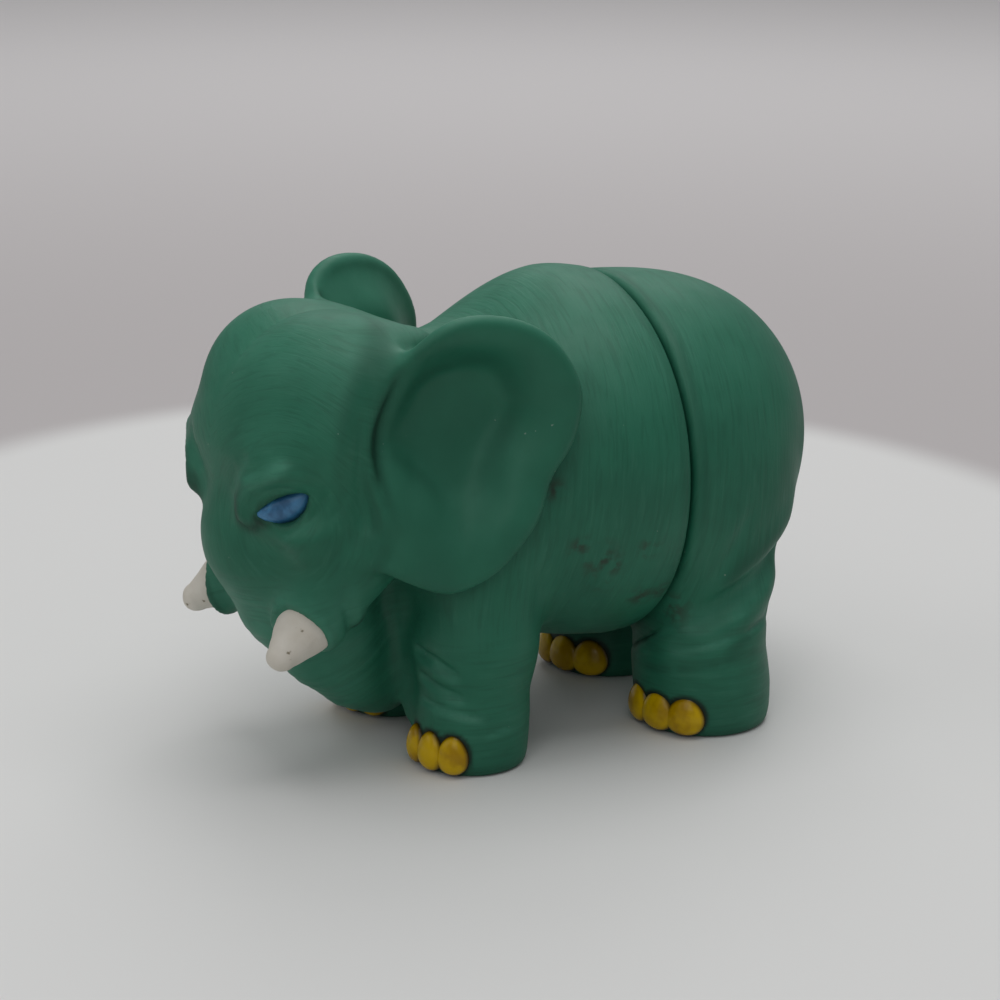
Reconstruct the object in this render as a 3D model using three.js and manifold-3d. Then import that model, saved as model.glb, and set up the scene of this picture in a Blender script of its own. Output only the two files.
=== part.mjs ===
// A toy elephant moulded in soft vinyl, in two halves that plug together at the waist.
// Sizes are millimetres. X runs to the head, Y to the elephant's left and Z up.
// The origin is on the floor, under the middle of the standing figure.
// Places along the body are measured forward from the seam, and up from the floor.

import * as THREE from 'three';
import { mergeVertices } from 'three/addons/utils/BufferGeometryUtils.js';
import Module from 'manifold-3d';

const wasm = await Module();
wasm.setup();

// The barrel of the body, round where the halves meet, and the seam across it
const seamPlace = -11.6;
const barrelRadius = 21.8;
const barrelHeight = 31.4;
const seamGap = 0.4;
const rimRound = 0.9;
const collarLength = 3;

// The head, trunk and tusks
const headForward = 36.2;
const headHeight = 39.5;
const headHalfWidth = 14;
const trunkRootRadius = 10;
const trunkTipRadius = 4.5;
const trunkTipHeight = 8.2;
const tuskRadius = 3.4;
const tuskTipRadius = 1.8;
const tuskLength = 4.3;

// The ears: flat dished flaps that lie back along the shoulders
const earHeight = 31.8;
const earThickness = 2.2;
const earDish = 2.9;
const earLean = THREE.MathUtils.degToRad(13);
const rightEarLean = THREE.MathUtils.degToRad(22);
const earForward = 27.3;
const earOut = 0.853 * barrelRadius;
const earClearance = 1;
const earMiddleHeight = 38.9;
const rightEarSetback = 2.4;
const rightEarInset = 1.4;

// The eyes: painted almonds, set in openings between the lids
const eyeLength = 7;
const eyeHeight = 3.4;
const eyeDepth = 2.8;
const lidDepth = 1.4;
const eyeSlant = THREE.MathUtils.degToRad(26);
const eyeTurn = THREE.MathUtils.degToRad(54);

// The legs, feet and toenails
const foreFootForward = 24;
const foreFootOut = 0.569 * barrelRadius;
const foreLegRadius = 6.25;
const hindFootForward = -7.7;
const hindFootOut = 0.61 * barrelRadius;
const hindLegRadius = 7.8;
const rightFeetInset = 4.4;
const rightFeetSetback = 0.5;
const nailWidth = 2.9;
const nailHeight = 4.7;
const nailDepth = 3;
const nailRise = 0.3;
const nailStand = 0.2;
const nailStep = THREE.MathUtils.degToRad(26);
const nailTurn = THREE.MathUtils.degToRad(17);

// The tail, moulded down the rump
const tailRadius = 1.5;
const tailProud = 0.5;

// The two plates that close the halves, and the plug that joins them
const rimWall = 3.2;
const plateRadius = barrelRadius - rimWall;
const plateThickness = 2.4;
const plateSink = 0.3;
const socketWall = 1.8;
const socketDepth = 13;
const plugRadius = 4.6;
const plugHollowRadius = 2.6;
const plugEndSpace = 1;
const plugBead = 0.9;
const plugBeadLength = 2;
const plugChamfer = 1;
const fitGap = 0.3;
const runningGap = 0.08;

// Fineness of the moulded surfaces, and how far cutting shapes run past what they cut
const skinStep = 2.4;
const overrun = 2;
const roundSides = 36;
const tuskSides = 12;
const tuskEndSteps = 2;
const tailSides = 8;
const eyeSides = 12;
const eyeRings = 8;
const nailSides = 8;
const nailRings = 6;
const almondPoint = 0.6;

const vinylGreen = new THREE.Color(0.025, 0.16, 0.09);
const tuskWhite = new THREE.Color(0.62, 0.59, 0.5);
const eyeBlue = new THREE.Color(0.05, 0.19, 0.36);
const nailYellow = new THREE.Color(0.6, 0.36, 0.01);
const plugCream = new THREE.Color(0.72, 0.7, 0.62);

const finishes = {
  vinyl: new THREE.MeshStandardMaterial({ color: vinylGreen, roughness: 0.52, metalness: 0 }),
  tusk: new THREE.MeshStandardMaterial({ color: tuskWhite, roughness: 0.75, metalness: 0 }),
  eye: new THREE.MeshStandardMaterial({ color: eyeBlue, roughness: 0.35, metalness: 0 }),
  nail: new THREE.MeshStandardMaterial({ color: nailYellow, roughness: 0.25, metalness: 0 }),
  plug: new THREE.MeshStandardMaterial({ color: plugCream, roughness: 0.4, metalness: 0 }),
};

// Fields: each returns how far a point lies outside a form, with negative values inside it

function ellipsoid(centre, radii) {
  return (point) => {
    const away = point.clone().sub(centre).divide(radii);
    const slope = away.clone().divide(radii).length();
    const reach = away.length();
    return reach * (reach - 1) / Math.max(slope, Number.EPSILON);
  };
}

function taper(from, to, fromRadius, toRadius) {
  const run = to.clone().sub(from);
  return (point) => {
    const away = point.clone().sub(from);
    const share = THREE.MathUtils.clamp(away.dot(run) / run.lengthSq(), 0, 1);
    return away.addScaledVector(run, -share).length() - THREE.MathUtils.lerp(fromRadius, toRadius, share);
  };
}

function chain(stations, softness) {
  const tapers = stations.slice(1).map((station, i) => {
    const before = stations[i];
    return taper(before.at, station.at, before.radius, station.radius);
  });
  return blend(softness, ...tapers);
}

function softMin(a, b, softness) {
  const overlap = Math.max(softness - Math.abs(a - b), 0) / softness;
  return Math.min(a, b) - overlap * overlap * softness / 4;
}

function blend(softness, ...fields) {
  return (point) => fields.map((field) => field(point)).reduce((a, b) => softMin(a, b, softness));
}

function bothSides(field) {
  return (point) => field(new THREE.Vector3(point.x, Math.abs(point.y), point.z));
}

// Where the inside touches itself only across the diagonal of a grid face, one corner is filled in,
// so that the skin never meets itself along an edge
function settleFaces(values, at, counts) {
  const filled = -Number.EPSILON;
  let again = true;
  while (again) {
    again = false;
    for (let i = 0; i < counts[0] - 1; i++) {
      for (let j = 0; j < counts[1] - 1; j++) {
        for (let k = 0; k < counts[2] - 1; k++) {
          for (const [u, v] of [[[1, 0, 0], [0, 1, 0]], [[0, 1, 0], [0, 0, 1]], [[0, 0, 1], [1, 0, 0]]]) {
            const a = at(i, j, k);
            const b = at(i + u[0], j + u[1], k + u[2]);
            const c = at(i + u[0] + v[0], j + u[1] + v[1], k + u[2] + v[2]);
            const d = at(i + v[0], j + v[1], k + v[2]);
            const [p, q, r, s] = [a, b, c, d].map((n) => values[n] < 0);
            if (p !== r || q !== s || p === q) continue;
            const [m, n] = p ? [b, d] : [a, c];
            values[values[m] < values[n] ? m : n] = filled;
            again = true;
          }
        }
      }
    }
  }
}

// Turns a field into a skin: one vertex in each grid cell that the surface crosses.
// The outermost grid points count as outside, so the skin is closed where it meets the bounds.
// All grids share one lattice, so that two skins of one surface agree where they overlap.
function skinOf(field, low, high) {
  const first = low.clone().divideScalar(skinStep).floor();
  const count = high.clone().divideScalar(skinStep).ceil().sub(first).addScalar(1);
  const [nx, ny, nz] = count.toArray();
  const at = (i, j, k) => (i * ny + j) * nz + k;
  const values = new Float64Array(nx * ny * nz);
  const point = new THREE.Vector3();
  for (let i = 0; i < nx; i++) {
    for (let j = 0; j < ny; j++) {
      for (let k = 0; k < nz; k++) {
        point.set(i, j, k).add(first).multiplyScalar(skinStep);
        const within = Math.min(i, j, k, nx - 1 - i, ny - 1 - j, nz - 1 - k);
        values[at(i, j, k)] = within > 0 ? field(point) : Math.max(field(point), skinStep / 2);
      }
    }
  }
  settleFaces(values, at, [nx, ny, nz]);
  const corners = [];
  for (let n = 0; n < 8; n++) {
    corners.push([n & 1, (n >> 1) & 1, (n >> 2) & 1]);
  }
  const edges = [];
  corners.forEach((a, m) => corners.forEach((b, n) => {
    const steps = Math.abs(a[0] - b[0]) + Math.abs(a[1] - b[1]) + Math.abs(a[2] - b[2]);
    if (m < n && steps === 1) edges.push([a, b]);
  }));
  const vertexOf = new Map();
  const positions = [];
  for (let i = 0; i < nx - 1; i++) {
    for (let j = 0; j < ny - 1; j++) {
      for (let k = 0; k < nz - 1; k++) {
        const crossing = new THREE.Vector3();
        let crossings = 0;
        for (const [a, b] of edges) {
          const here = values[at(i + a[0], j + a[1], k + a[2])];
          const there = values[at(i + b[0], j + b[1], k + b[2])];
          if (here < 0 === there < 0) continue;
          const share = here / (here - there);
          crossing.add(new THREE.Vector3(...a).lerp(new THREE.Vector3(...b), share));
          crossings += 1;
        }
        if (crossings === 0) continue;
        crossing.divideScalar(crossings).add(new THREE.Vector3(i, j, k));
        crossing.add(first).multiplyScalar(skinStep);
        vertexOf.set(at(i, j, k), positions.length / 3);
        positions.push(...crossing.toArray());
      }
    }
  }
  const triangles = [];
  const axes = [[1, 0, 0], [0, 1, 0], [0, 0, 1]];
  const corner = (index) => new THREE.Vector3().fromArray(positions, index * 3);
  for (let i = 0; i < nx - 1; i++) {
    for (let j = 0; j < ny - 1; j++) {
      for (let k = 0; k < nz - 1; k++) {
        const inside = values[at(i, j, k)] < 0;
        for (let axis = 0; axis < 3; axis++) {
          const step = axes[axis];
          if (inside === values[at(i + step[0], j + step[1], k + step[2])] < 0) continue;
          const u = axes[(axis + 1) % 3];
          const v = axes[(axis + 2) % 3];
          const cell = (du, dv) => vertexOf.get(at(
            i - du * u[0] - dv * v[0], j - du * u[1] - dv * v[1], k - du * u[2] - dv * v[2]));
          const quad = [cell(0, 0), cell(1, 0), cell(1, 1), cell(0, 1)];
          if (!inside) quad.reverse();
          const [a, b, c, d] = quad;
          const shorter = corner(a).distanceTo(corner(c)) < corner(b).distanceTo(corner(d));
          triangles.push(...(shorter ? [a, b, c, a, c, d] : [a, b, d, b, c, d]));
        }
      }
    }
  }
  return { positions, triangles };
}

// Solids: joined and cut by the boolean library

function solidOf({ positions, triangles }) {
  return new wasm.Manifold(new wasm.Mesh({
    numProp: 3,
    vertProperties: new Float32Array(positions),
    triVerts: new Uint32Array(triangles),
  }));
}

function solidOfGeometry(geometry, matrix) {
  const bare = geometry.clone();
  bare.deleteAttribute('normal');
  bare.deleteAttribute('uv');
  const merged = mergeVertices(bare.applyMatrix4(matrix ?? new THREE.Matrix4()));
  const triangles = [];
  const index = merged.index.array;
  for (let t = 0; t < index.length; t += 3) {
    const [a, b, c] = [index[t], index[t + 1], index[t + 2]];
    if (a !== b && b !== c && c !== a) triangles.push(a, b, c);
  }
  return solidOf({ positions: merged.attributes.position.array, triangles });
}

function meshOf(name, solid, finish) {
  const { vertProperties, triVerts, numProp } = solid.getMesh();
  const geometry = new THREE.BufferGeometry();
  const positions = new Float32Array(vertProperties.length / numProp * 3);
  for (let v = 0; v < positions.length / 3; v++) {
    positions.set(vertProperties.slice(v * numProp, v * numProp + 3), v * 3);
  }
  geometry.setAttribute('position', new THREE.BufferAttribute(positions, 3));
  geometry.setIndex([...triVerts]);
  geometry.computeVertexNormals();
  const mesh = new THREE.Mesh(geometry, finish);
  mesh.name = name;
  return mesh;
}

// A turned solid about the barrel's axis: its profile gives distance forward of the seam and radius
function turned(profile) {
  const points = profile.map(([forward, radius]) => new THREE.Vector2(radius, forward));
  if (THREE.ShapeUtils.area(points) < 0) points.reverse();
  const lathe = new THREE.LatheGeometry(points, roundSides);
  const alongX = new THREE.Matrix4().makeRotationZ(-Math.PI / 2);
  const place = new THREE.Matrix4().makeTranslation(seamPlace, 0, barrelHeight);
  return solidOfGeometry(lathe, place.multiply(alongX));
}

// A drum that covers all of the barrel on one side of the seam
function barrelBeyond(plane, direction) {
  const profile = [
    [plane, 0],
    [plane, barrelRadius + overrun],
    [plane + direction * barrelRadius, barrelRadius + overrun],
    [plane + direction * barrelRadius, 0],
  ];
  return turned(profile);
}

function everythingBelowFloor() {
  const span = 2 * bound('forward');
  const slab = new THREE.BoxGeometry(span, span, span);
  slab.translate(0, 0, -span / 2);
  return solidOfGeometry(slab);
}

// A place on the body: forward of the seam, out to the left, and up from the floor
function bodyPoint(forward, out, up) {
  return new THREE.Vector3(seamPlace + forward, out, up);
}

// Barrel, hump and neck, as shares of the barrel's radius from its axis at the seam
const barrelShares = {
  waist: [{ at: [-0.45, 0, 0], radius: 1 }, { at: [0.24, 0, 0.01], radius: 0.99 }],
  chest: [{ at: [0.24, 0, -0.01], radius: 0.98 }, { at: [0.79, 0, -0.055], radius: 0.81 }],
  hump: { at: [0.31, 0, 0.165], radii: [0.55, 0.69, 0.867] },
  rump: { at: [-0.02, 0, 0], radii: [1.18, 1, 1] },
  croup: { at: [-0.4, 0, 0.165], radii: [0.77, 0.76, 0.745] },
  haunch: { at: [-0.325, 0.45, -0.25], radii: [0.54, 0.505, 0.64] },
};
const barrelSoftShare = 0.14;

// Skull, domes, face, brows and cheeks, as shares of the head's half width from its middle
const headShares = {
  nape: { at: [-0.57, 0, -0.32], radius: 0.94 },
  skull: { at: [0, 0, 0], radii: [1, 0.985, 0.885] },
  dome: { at: [0.215, 0.355, 0.265], radii: [0.66, 0.615, 0.645] },
  face: [{ at: [0.185, 0, -0.25], radius: 0.86 }, { at: [0.285, 0, -0.82], radius: 0.745 }],
  brow: { at: [0.73, 0.68, -0.2], radii: [0.28, 0.38, 0.25] },
  cheekbone: { at: [0.54, 0.72, -0.69], radii: [0.29, 0.31, 0.25] },
  cheek: [{ at: [0.11, 0.61, -0.82], radius: 0.515 }, { at: [0.5, 0.7, -1.4], radius: 0.3 }],
  tuskRoot: { at: [0.592, 0.728, -1.5] },
  eye: { at: [0.716, 0.678, -0.479] },
};
const tuskWayShares = [0.78, 0.33, -0.53];
const headSoftShare = 0.28;
const browSoftShare = 0.18;

function barrelStation({ at, radius, radii }) {
  const place = bodyPoint(at[0] * barrelRadius, at[1] * barrelRadius, barrelHeight + at[2] * barrelRadius);
  return { at: place, radius: radius * barrelRadius, radii: scaled(radii, barrelRadius) };
}

function headStation({ at, radius, radii }) {
  const place = bodyPoint(headForward + at[0] * headHalfWidth, at[1] * headHalfWidth,
    headHeight + at[2] * headHalfWidth);
  return { at: place, radius: radius * headHalfWidth, radii: scaled(radii, headHalfWidth) };
}

function scaled(radii, size) {
  return radii && new THREE.Vector3(...radii).multiplyScalar(size);
}

function egg({ at, radii }) {
  return ellipsoid(at, radii);
}

// Front half: chest, neck, head and trunk. The trunk's lower part hangs close to the forelegs,
// so it is skinned apart from them, below a break half way down.
const trunkBreak = 0.56 * barrelHeight;

function trunkField() {
  // Each station: share of the way down to the tip, and share of the head's half width forward
  const stationShares = [
    [0.4, 0.36, 0], [0.61, 0.21, 0.33], [0.8, -0.05, 0.55], [0.93, -0.29, 0.77], [1, -0.45, 1],
  ];
  const stations = stationShares.map(([down, forward, taperShare]) => ({
    at: bodyPoint(headForward + forward * headHalfWidth, 0,
      THREE.MathUtils.lerp(headHeight, trunkTipHeight, down)),
    radius: THREE.MathUtils.lerp(trunkRootRadius, trunkTipRadius, taperShare),
  }));
  return chain(stations, headSoftShare * trunkTipRadius);
}

// Each leg station: height as a share of the axis height, lean back and in as shares, and girth
const foreLegShares = [
  [0.92, -0.4, 0.82, 1.26], [0.45, -0.12, 0.96, 1.12], [0.16, -0.03, 1, 1], [0.06, 0, 1, 1.06],
];
const hindLegShares = [
  [0.57, -0.08, 0.88, 1.1], [0.29, 0.08, 0.985, 0.97], [0.13, 0, 1, 0.99], [0.06, 0, 1, 1.02],
];

// The feet on the right stand a little further in and further back than those on the left
const feet = {
  front: { forward: foreFootForward, out: foreFootOut, radius: foreLegRadius },
  rear: { forward: hindFootForward, out: hindFootOut, radius: hindLegRadius },
};

function legPoint(foot, side, backShare, outShare, up) {
  const shift = side < 0 ? 1 - up / barrelHeight : 0;
  const forward = foot.forward + backShare * foot.radius - shift * rightFeetSetback;
  return bodyPoint(forward, side * (foot.out * outShare - shift * rightFeetInset), up);
}

function legFields(stationShares, foot) {
  return [1, -1].map((side) => chain(stationShares.map(([up, back, out, girth]) => ({
    at: legPoint(foot, side, back, out, barrelHeight * up),
    radius: foot.radius * girth,
  })), foot.radius * headSoftShare));
}

function frontField() {
  const chest = blend(barrelSoftShare * barrelRadius,
    chain(barrelShares.waist.map(barrelStation), barrelRadius),
    chain(barrelShares.chest.map(barrelStation), barrelRadius),
    egg(barrelStation(barrelShares.hump)));
  const neckBack = barrelStation(barrelShares.chest[1]);
  const neckFront = headStation(headShares.nape);
  const neck = taper(neckBack.at, neckFront.at, neckBack.radius, neckFront.radius);
  const head = blend(headSoftShare * headHalfWidth,
    egg(headStation(headShares.skull)),
    bothSides(egg(headStation(headShares.dome))),
    chain(headShares.face.map(headStation), headHalfWidth));
  const cheek = bothSides(chain(headShares.cheek.map(headStation), headHalfWidth));
  const browed = blend(browSoftShare * headHalfWidth,
    blend(headSoftShare * headHalfWidth, chest, neck, head),
    bothSides(egg(headStation(headShares.brow))),
    bothSides(egg(headStation(headShares.cheekbone))),
    cheek);
  const trunked = blend(browSoftShare * headHalfWidth, browed, trunkField());
  const legged = blend(barrelSoftShare * barrelRadius, browed, ...legFields(foreLegShares, feet.front));
  const upper = (point) => Math.min(legged(point), Math.max(trunked(point), trunkBreak - point.z));
  return { upper, trunked };
}

// Rear half: rump, haunches and hind legs

function rearField() {
  const rump = blend(barrelSoftShare * barrelRadius,
    egg(barrelStation(barrelShares.rump)),
    egg(barrelStation(barrelShares.croup)));
  const haunch = bothSides(egg(barrelStation(barrelShares.haunch)));
  const haunched = blend(barrelSoftShare * barrelRadius, rump, haunch);
  return blend(browSoftShare * hindLegRadius, haunched, ...legFields(hindLegShares, feet.rear));
}

// The collar keeps each half's open end truly round, and runs in under the skin behind it
function collarSolid(direction) {
  const foot = barrelRadius - fitGap;
  const profile = [
    [-direction * overrun, 0],
    [-direction * overrun, barrelRadius],
    [direction * (collarLength - overrun), barrelRadius],
    [direction * collarLength, foot],
    [direction * collarLength, 0],
  ];
  return turned(profile);
}

// Each half's open rim is rounded all the way round the barrel, and meets its side at an angle
const rimArc = THREE.MathUtils.degToRad(60);
const rimArcSteps = 3;

function rimCutter(plane, direction) {
  const profile = [[plane - direction * overrun, barrelRadius - rimRound * Math.sin(rimArc)]];
  for (let n = 0; n <= rimArcSteps; n++) {
    const turn = n / rimArcSteps * rimArc;
    const along = rimRound * (1 - Math.cos(turn));
    profile.push([plane + direction * along, barrelRadius + rimRound * (Math.sin(turn) - Math.sin(rimArc))]);
  }
  const [along, radius] = [rimRound * (1 - Math.cos(rimArc) + Math.sin(rimArc)), rimRound * Math.cos(rimArc)];
  profile.push([plane + direction * along, barrelRadius + radius]);
  profile.push([plane - direction * overrun, barrelRadius + radius]);
  profile.push(profile[0]);
  return turned(profile);
}

// The ear: a closed flap lofted between its outline and its middle, on a front and a back face

const earOutlineShares = [[0.006, 0.494], [0.168, 0.463], [0.299, 0.372], [0.384, 0.207], [0.36, 0.03],
  [0.28, -0.104], [0.22, -0.262], [0.073, -0.433], [-0.085, -0.506], [-0.262, -0.445], [-0.44, -0.335],
  [-0.52, -0.09], [-0.45, 0.183], [-0.26, 0.354], [-0.128, 0.463]];
const earRingShares = [1, 0.95, 0.86, 0.7, 0.42];
const earFullnessShares = [0, 0.72, 1, 1, 1];
const earOutlineSteps = 36;
const earRootShare = 0.235;
const earDiveSlope = 1.15;
const earLobeShares = { from: 0.2, to: 0.3 };

const earBowlShares = { back: 0.4, up: 0.46 };
const earBowlPower = 0.8;

// 1 on the ear's lower lobe, which lies over the cheek, and 0 above it
function onLobe(up) {
  return THREE.MathUtils.smoothstep(-up / earHeight, earLobeShares.from, earLobeShares.to);
}

// How far the flap's middle surface is dished inwards at a place on it
function earSink(back, up) {
  const [across, along] = [back / earHeight / earBowlShares.back, up / earHeight / earBowlShares.up];
  const bowl = Math.max(1 - across ** 2 - along ** 2, 0);
  const dive = Math.max(-back - earRootShare * earHeight, 0) * earDiveSlope;
  return earDish * bowl ** earBowlPower + dive * (1 - onLobe(up));
}

// Where the shoulder would come through the flap, the flap lies over it
function earSolid({ side, lean, setback, inset }) {
  const outline = new THREE.CatmullRomCurve3(
    earOutlineShares.map(([back, up]) => new THREE.Vector3(back, up, 0).multiplyScalar(earHeight)), true);
  const rim = outline.getPoints(earOutlineSteps).slice(0, earOutlineSteps);
  const positions = [];
  const spot = (back, up, across) => {
    const forward = -back * Math.cos(lean) + across * Math.sin(lean);
    const out = back * Math.sin(lean) + across * Math.cos(lean);
    return bodyPoint(earForward - setback + forward, side * (earOut - inset + out), earMiddleHeight + up);
  };
  const place = (back, up, face, fullness) => {
    const middle = -earSink(back, up);
    const free = THREE.MathUtils.clamp((back / earHeight + earRootShare) / earRootShare, 0, 1);
    const proud = frontFields.upper(spot(back, up, middle + earThickness / 2));
    const buried = Math.max(earThickness + earClearance - proud, 0);
    const across = middle + Math.max(free, onLobe(up)) * buried + face * fullness * earThickness / 2;
    positions.push(...spot(back, up, across).toArray());
    return positions.length / 3 - 1;
  };
  const edge = rim.map((p) => place(p.x, p.y, 0, 0));
  const triangles = [];
  for (const face of [1, -1]) {
    let ring = edge;
    earRingShares.slice(1).forEach((share, n) => {
      const inner = rim.map((p) => place(p.x * share, p.y * share, face, earFullnessShares[n + 1]));
      ring.forEach((a, m) => {
        const next = (m + 1) % ring.length;
        const quad = [a, ring[next], inner[next], a, inner[next], inner[m]];
        triangles.push(...(face * side > 0 ? quad.reverse() : quad));
      });
      ring = inner;
    });
    const middle = place(0, 0, face, 1);
    ring.forEach((a, m) => {
      const fan = [a, ring[(m + 1) % ring.length], middle];
      triangles.push(...(face * side > 0 ? fan.reverse() : fan));
    });
  }
  return solidOf({ positions, triangles });
}

// A round-ended tube of changing radius along a list of stations
function tubeSolid(stations, sides, endSteps) {
  const rings = [];
  const last = stations.length - 1;
  stations.forEach(({ at, radius }, n) => {
    const before = stations[Math.max(n - 1, 0)].at;
    const after = stations[Math.min(n + 1, last)].at;
    const way = after.clone().sub(before).normalize();
    if (n > 0 && n < last) rings.push({ at, radius, way });
    if (n === 0 || n === last) {
      for (let e = 1; e <= endSteps; e++) {
        const turn = (n === 0 ? e : endSteps + 1 - e) / (endSteps + 1) * Math.PI / 2;
        const shift = radius * Math.cos(turn) * (n === 0 ? -1 : 1);
        rings.push({ at: at.clone().addScaledVector(way, shift), radius: radius * Math.sin(turn), way });
      }
    }
    if (n === 0) rings.push({ at, radius, way });
    if (n === last) rings.splice(rings.length - endSteps, 0, { at, radius, way });
  });
  const positions = [];
  const sideways = new THREE.Vector3(0, 1, 0);
  rings.forEach(({ at, radius, way }) => {
    const normal = new THREE.Vector3().crossVectors(way, sideways).normalize();
    const binormal = new THREE.Vector3().crossVectors(way, normal);
    for (let s = 0; s < sides; s++) {
      const turn = s / sides * 2 * Math.PI;
      const spot = at.clone().addScaledVector(normal, radius * Math.cos(turn));
      positions.push(...spot.addScaledVector(binormal, radius * Math.sin(turn)).toArray());
    }
  });
  const first = rings[0];
  const end = rings[rings.length - 1];
  const tipFrom = stations[0].at.clone().addScaledVector(first.way, -stations[0].radius);
  const tipTo = stations[last].at.clone().addScaledVector(end.way, stations[last].radius);
  positions.push(...tipFrom.toArray(), ...tipTo.toArray());
  const tip = rings.length * sides;
  const triangles = [];
  for (let s = 0; s < sides; s++) {
    const t = (s + 1) % sides;
    for (let r = 0; r < rings.length - 1; r++) {
      const [a, b, c, d] = [r * sides + s, r * sides + t, (r + 1) * sides + t, (r + 1) * sides + s];
      triangles.push(a, b, c, a, c, d);
    }
    triangles.push(t, s, tip, (rings.length - 1) * sides + s, (rings.length - 1) * sides + t, tip + 1);
  }
  return solidOf({ positions, triangles });
}

function tuskSolid(side, swell) {
  const mirror = new THREE.Vector3(1, side, 1);
  const way = new THREE.Vector3(...tuskWayShares).normalize().multiply(mirror);
  const root = headStation(headShares.tuskRoot).at.multiply(mirror);
  return tubeSolid([
    { at: root, radius: tuskRadius + swell },
    { at: root.clone().addScaledVector(way, tuskLength), radius: tuskTipRadius + swell },
  ], tuskSides, tuskEndSteps);
}

// A ball drawn out to a point at both ends of its Y axis
function almond() {
  const ball = new THREE.SphereGeometry(1, eyeSides, eyeRings);
  const position = ball.attributes.position;
  for (let n = 0; n < position.count; n++) {
    const narrow = Math.sqrt(Math.max(1 - position.getY(n) ** 2, 0)) ** almondPoint;
    position.setZ(n, position.getZ(n) * narrow);
  }
  return ball;
}

// The same almond, moved out of the face by the lids' depth, cuts the opening between the lids
function eyeSolid(side, swell, out) {
  const eye = headStation(headShares.eye).at;
  const size = new THREE.Vector3(eyeDepth / 2 + swell, eyeLength / 2 + swell, eyeHeight / 2 + swell);
  const matrix = new THREE.Matrix4().makeTranslation(eye.x, side * eye.y, eye.z);
  matrix.multiply(new THREE.Matrix4().makeRotationZ(side * eyeTurn));
  matrix.multiply(new THREE.Matrix4().makeTranslation(out, 0, 0));
  matrix.multiply(new THREE.Matrix4().makeRotationX(side * eyeSlant));
  matrix.multiply(new THREE.Matrix4().makeScale(...size.toArray()));
  return solidOfGeometry(almond(), matrix);
}

// Three toenails stand round the front of each foot, and all four feet turn a little to the left
function nailSolid(foot, side, number, swell) {
  const turn = nailTurn + side * (number - 2) * nailStep;
  const middle = legPoint(foot, side, 0, 1, nailRise + nailHeight / 2);
  const matrix = new THREE.Matrix4().makeTranslation(...middle.toArray());
  matrix.multiply(new THREE.Matrix4().makeRotationZ(turn));
  matrix.multiply(new THREE.Matrix4().makeTranslation(foot.radius + nailStand, 0, 0));
  const width = nailWidth * foot.radius / foreLegRadius;
  const size = new THREE.Vector3(nailDepth / 2 + swell, width / 2 + swell, nailHeight / 2 + swell);
  matrix.multiply(new THREE.Matrix4().makeScale(...size.toArray()));
  matrix.multiply(new THREE.Matrix4().makeRotationX(Math.PI / 2));
  return solidOfGeometry(new THREE.SphereGeometry(1, nailSides, nailRings), matrix);
}

const nails = [];
for (const half of ['front', 'rear']) {
  for (const [sideName, side] of [['left', 1], ['right', -1]]) {
    for (const number of [1, 2, 3]) {
      nails.push({
        half,
        name: `toenail_${half}_${sideName}_${number}`,
        solid: (swell) => nailSolid(feet[half], side, number, swell),
      });
    }
  }
}

// The plate that closes a half: a disc with a blind round socket standing behind it
function plateSolid(direction) {
  const face = direction * (seamGap / 2 + plateSink);
  const bore = plugRadius + runningGap;
  const profile = [
    [face, bore],
    [face, plateRadius],
    [face + direction * plateThickness, plateRadius],
    [face + direction * plateThickness, bore + socketWall],
    [face + direction * socketDepth, bore + socketWall],
    [face + direction * socketDepth, bore],
    [face, bore],
  ];
  return turned(profile);
}

// The recess in a half that its plate and socket sit in, and room for the plug's end
function plateRecess(direction) {
  const plane = direction * seamGap / 2;
  const face = plane + direction * plateSink;
  const bore = plugRadius + runningGap;
  const deep = face + direction * (socketDepth + plugBeadLength + plugEndSpace);
  const profile = [
    [plane - direction * overrun, 0],
    [plane - direction * overrun, plateRadius + fitGap],
    [face + direction * (plateThickness + fitGap), plateRadius + fitGap],
    [face + direction * (plateThickness + fitGap), bore + socketWall + fitGap],
    [deep, bore + socketWall + fitGap],
    [deep, 0],
  ];
  return turned(profile);
}

// The plug: a hollow peg, held behind the front socket by its bead and pushed into the rear one
function plugSolid() {
  const front = seamGap / 2 + plateSink + socketDepth + fitGap;
  const rear = -(seamGap / 2 + plateSink + socketDepth);
  const profile = [
    [rear, plugHollowRadius],
    [rear, plugRadius - plugChamfer],
    [rear + plugChamfer, plugRadius],
    [front, plugRadius],
    [front, plugRadius + plugBead],
    [front + plugBeadLength - plugBead, plugRadius + plugBead],
    [front + plugBeadLength, plugRadius],
    [front + plugBeadLength, plugHollowRadius],
    [rear, plugHollowRadius],
  ];
  return turned(profile);
}

// The tail hangs down the rump, half sunk in it, and ends in a tuft
function tailSolid() {
  // Each station: height above the barrel's axis as a share of its radius, and how thick the tail is
  const stationShares = [[0.5, 1, -1.8], [0.34, 1, 0.2], [0.1, 0.9, 1], [-0.16, 0.82, 1], [-0.42, 1.1, 0.8]];
  const rump = barrelStation(barrelShares.rump);
  const croup = barrelStation(barrelShares.croup);
  const rumpBack = (up) => Math.min(
    rump.at.x - rump.radii.x * Math.sqrt(Math.max(1 - ((up - rump.at.z) / rump.radii.z) ** 2, 0)),
    croup.at.x - croup.radii.x * Math.sqrt(Math.max(1 - ((up - croup.at.z) / croup.radii.z) ** 2, 0)));
  const stations = stationShares.map(([up, girth, stand]) => {
    const height = barrelHeight + up * barrelRadius;
    const back = rumpBack(height) - stand * tailProud;
    return { at: new THREE.Vector3(back, 0, height), radius: girth * tailRadius };
  });
  return tubeSolid(stations, tailSides, tuskEndSteps);
}

// Build: each half is one moulding, cut at the seam, at the floor and for what is set into it

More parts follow.
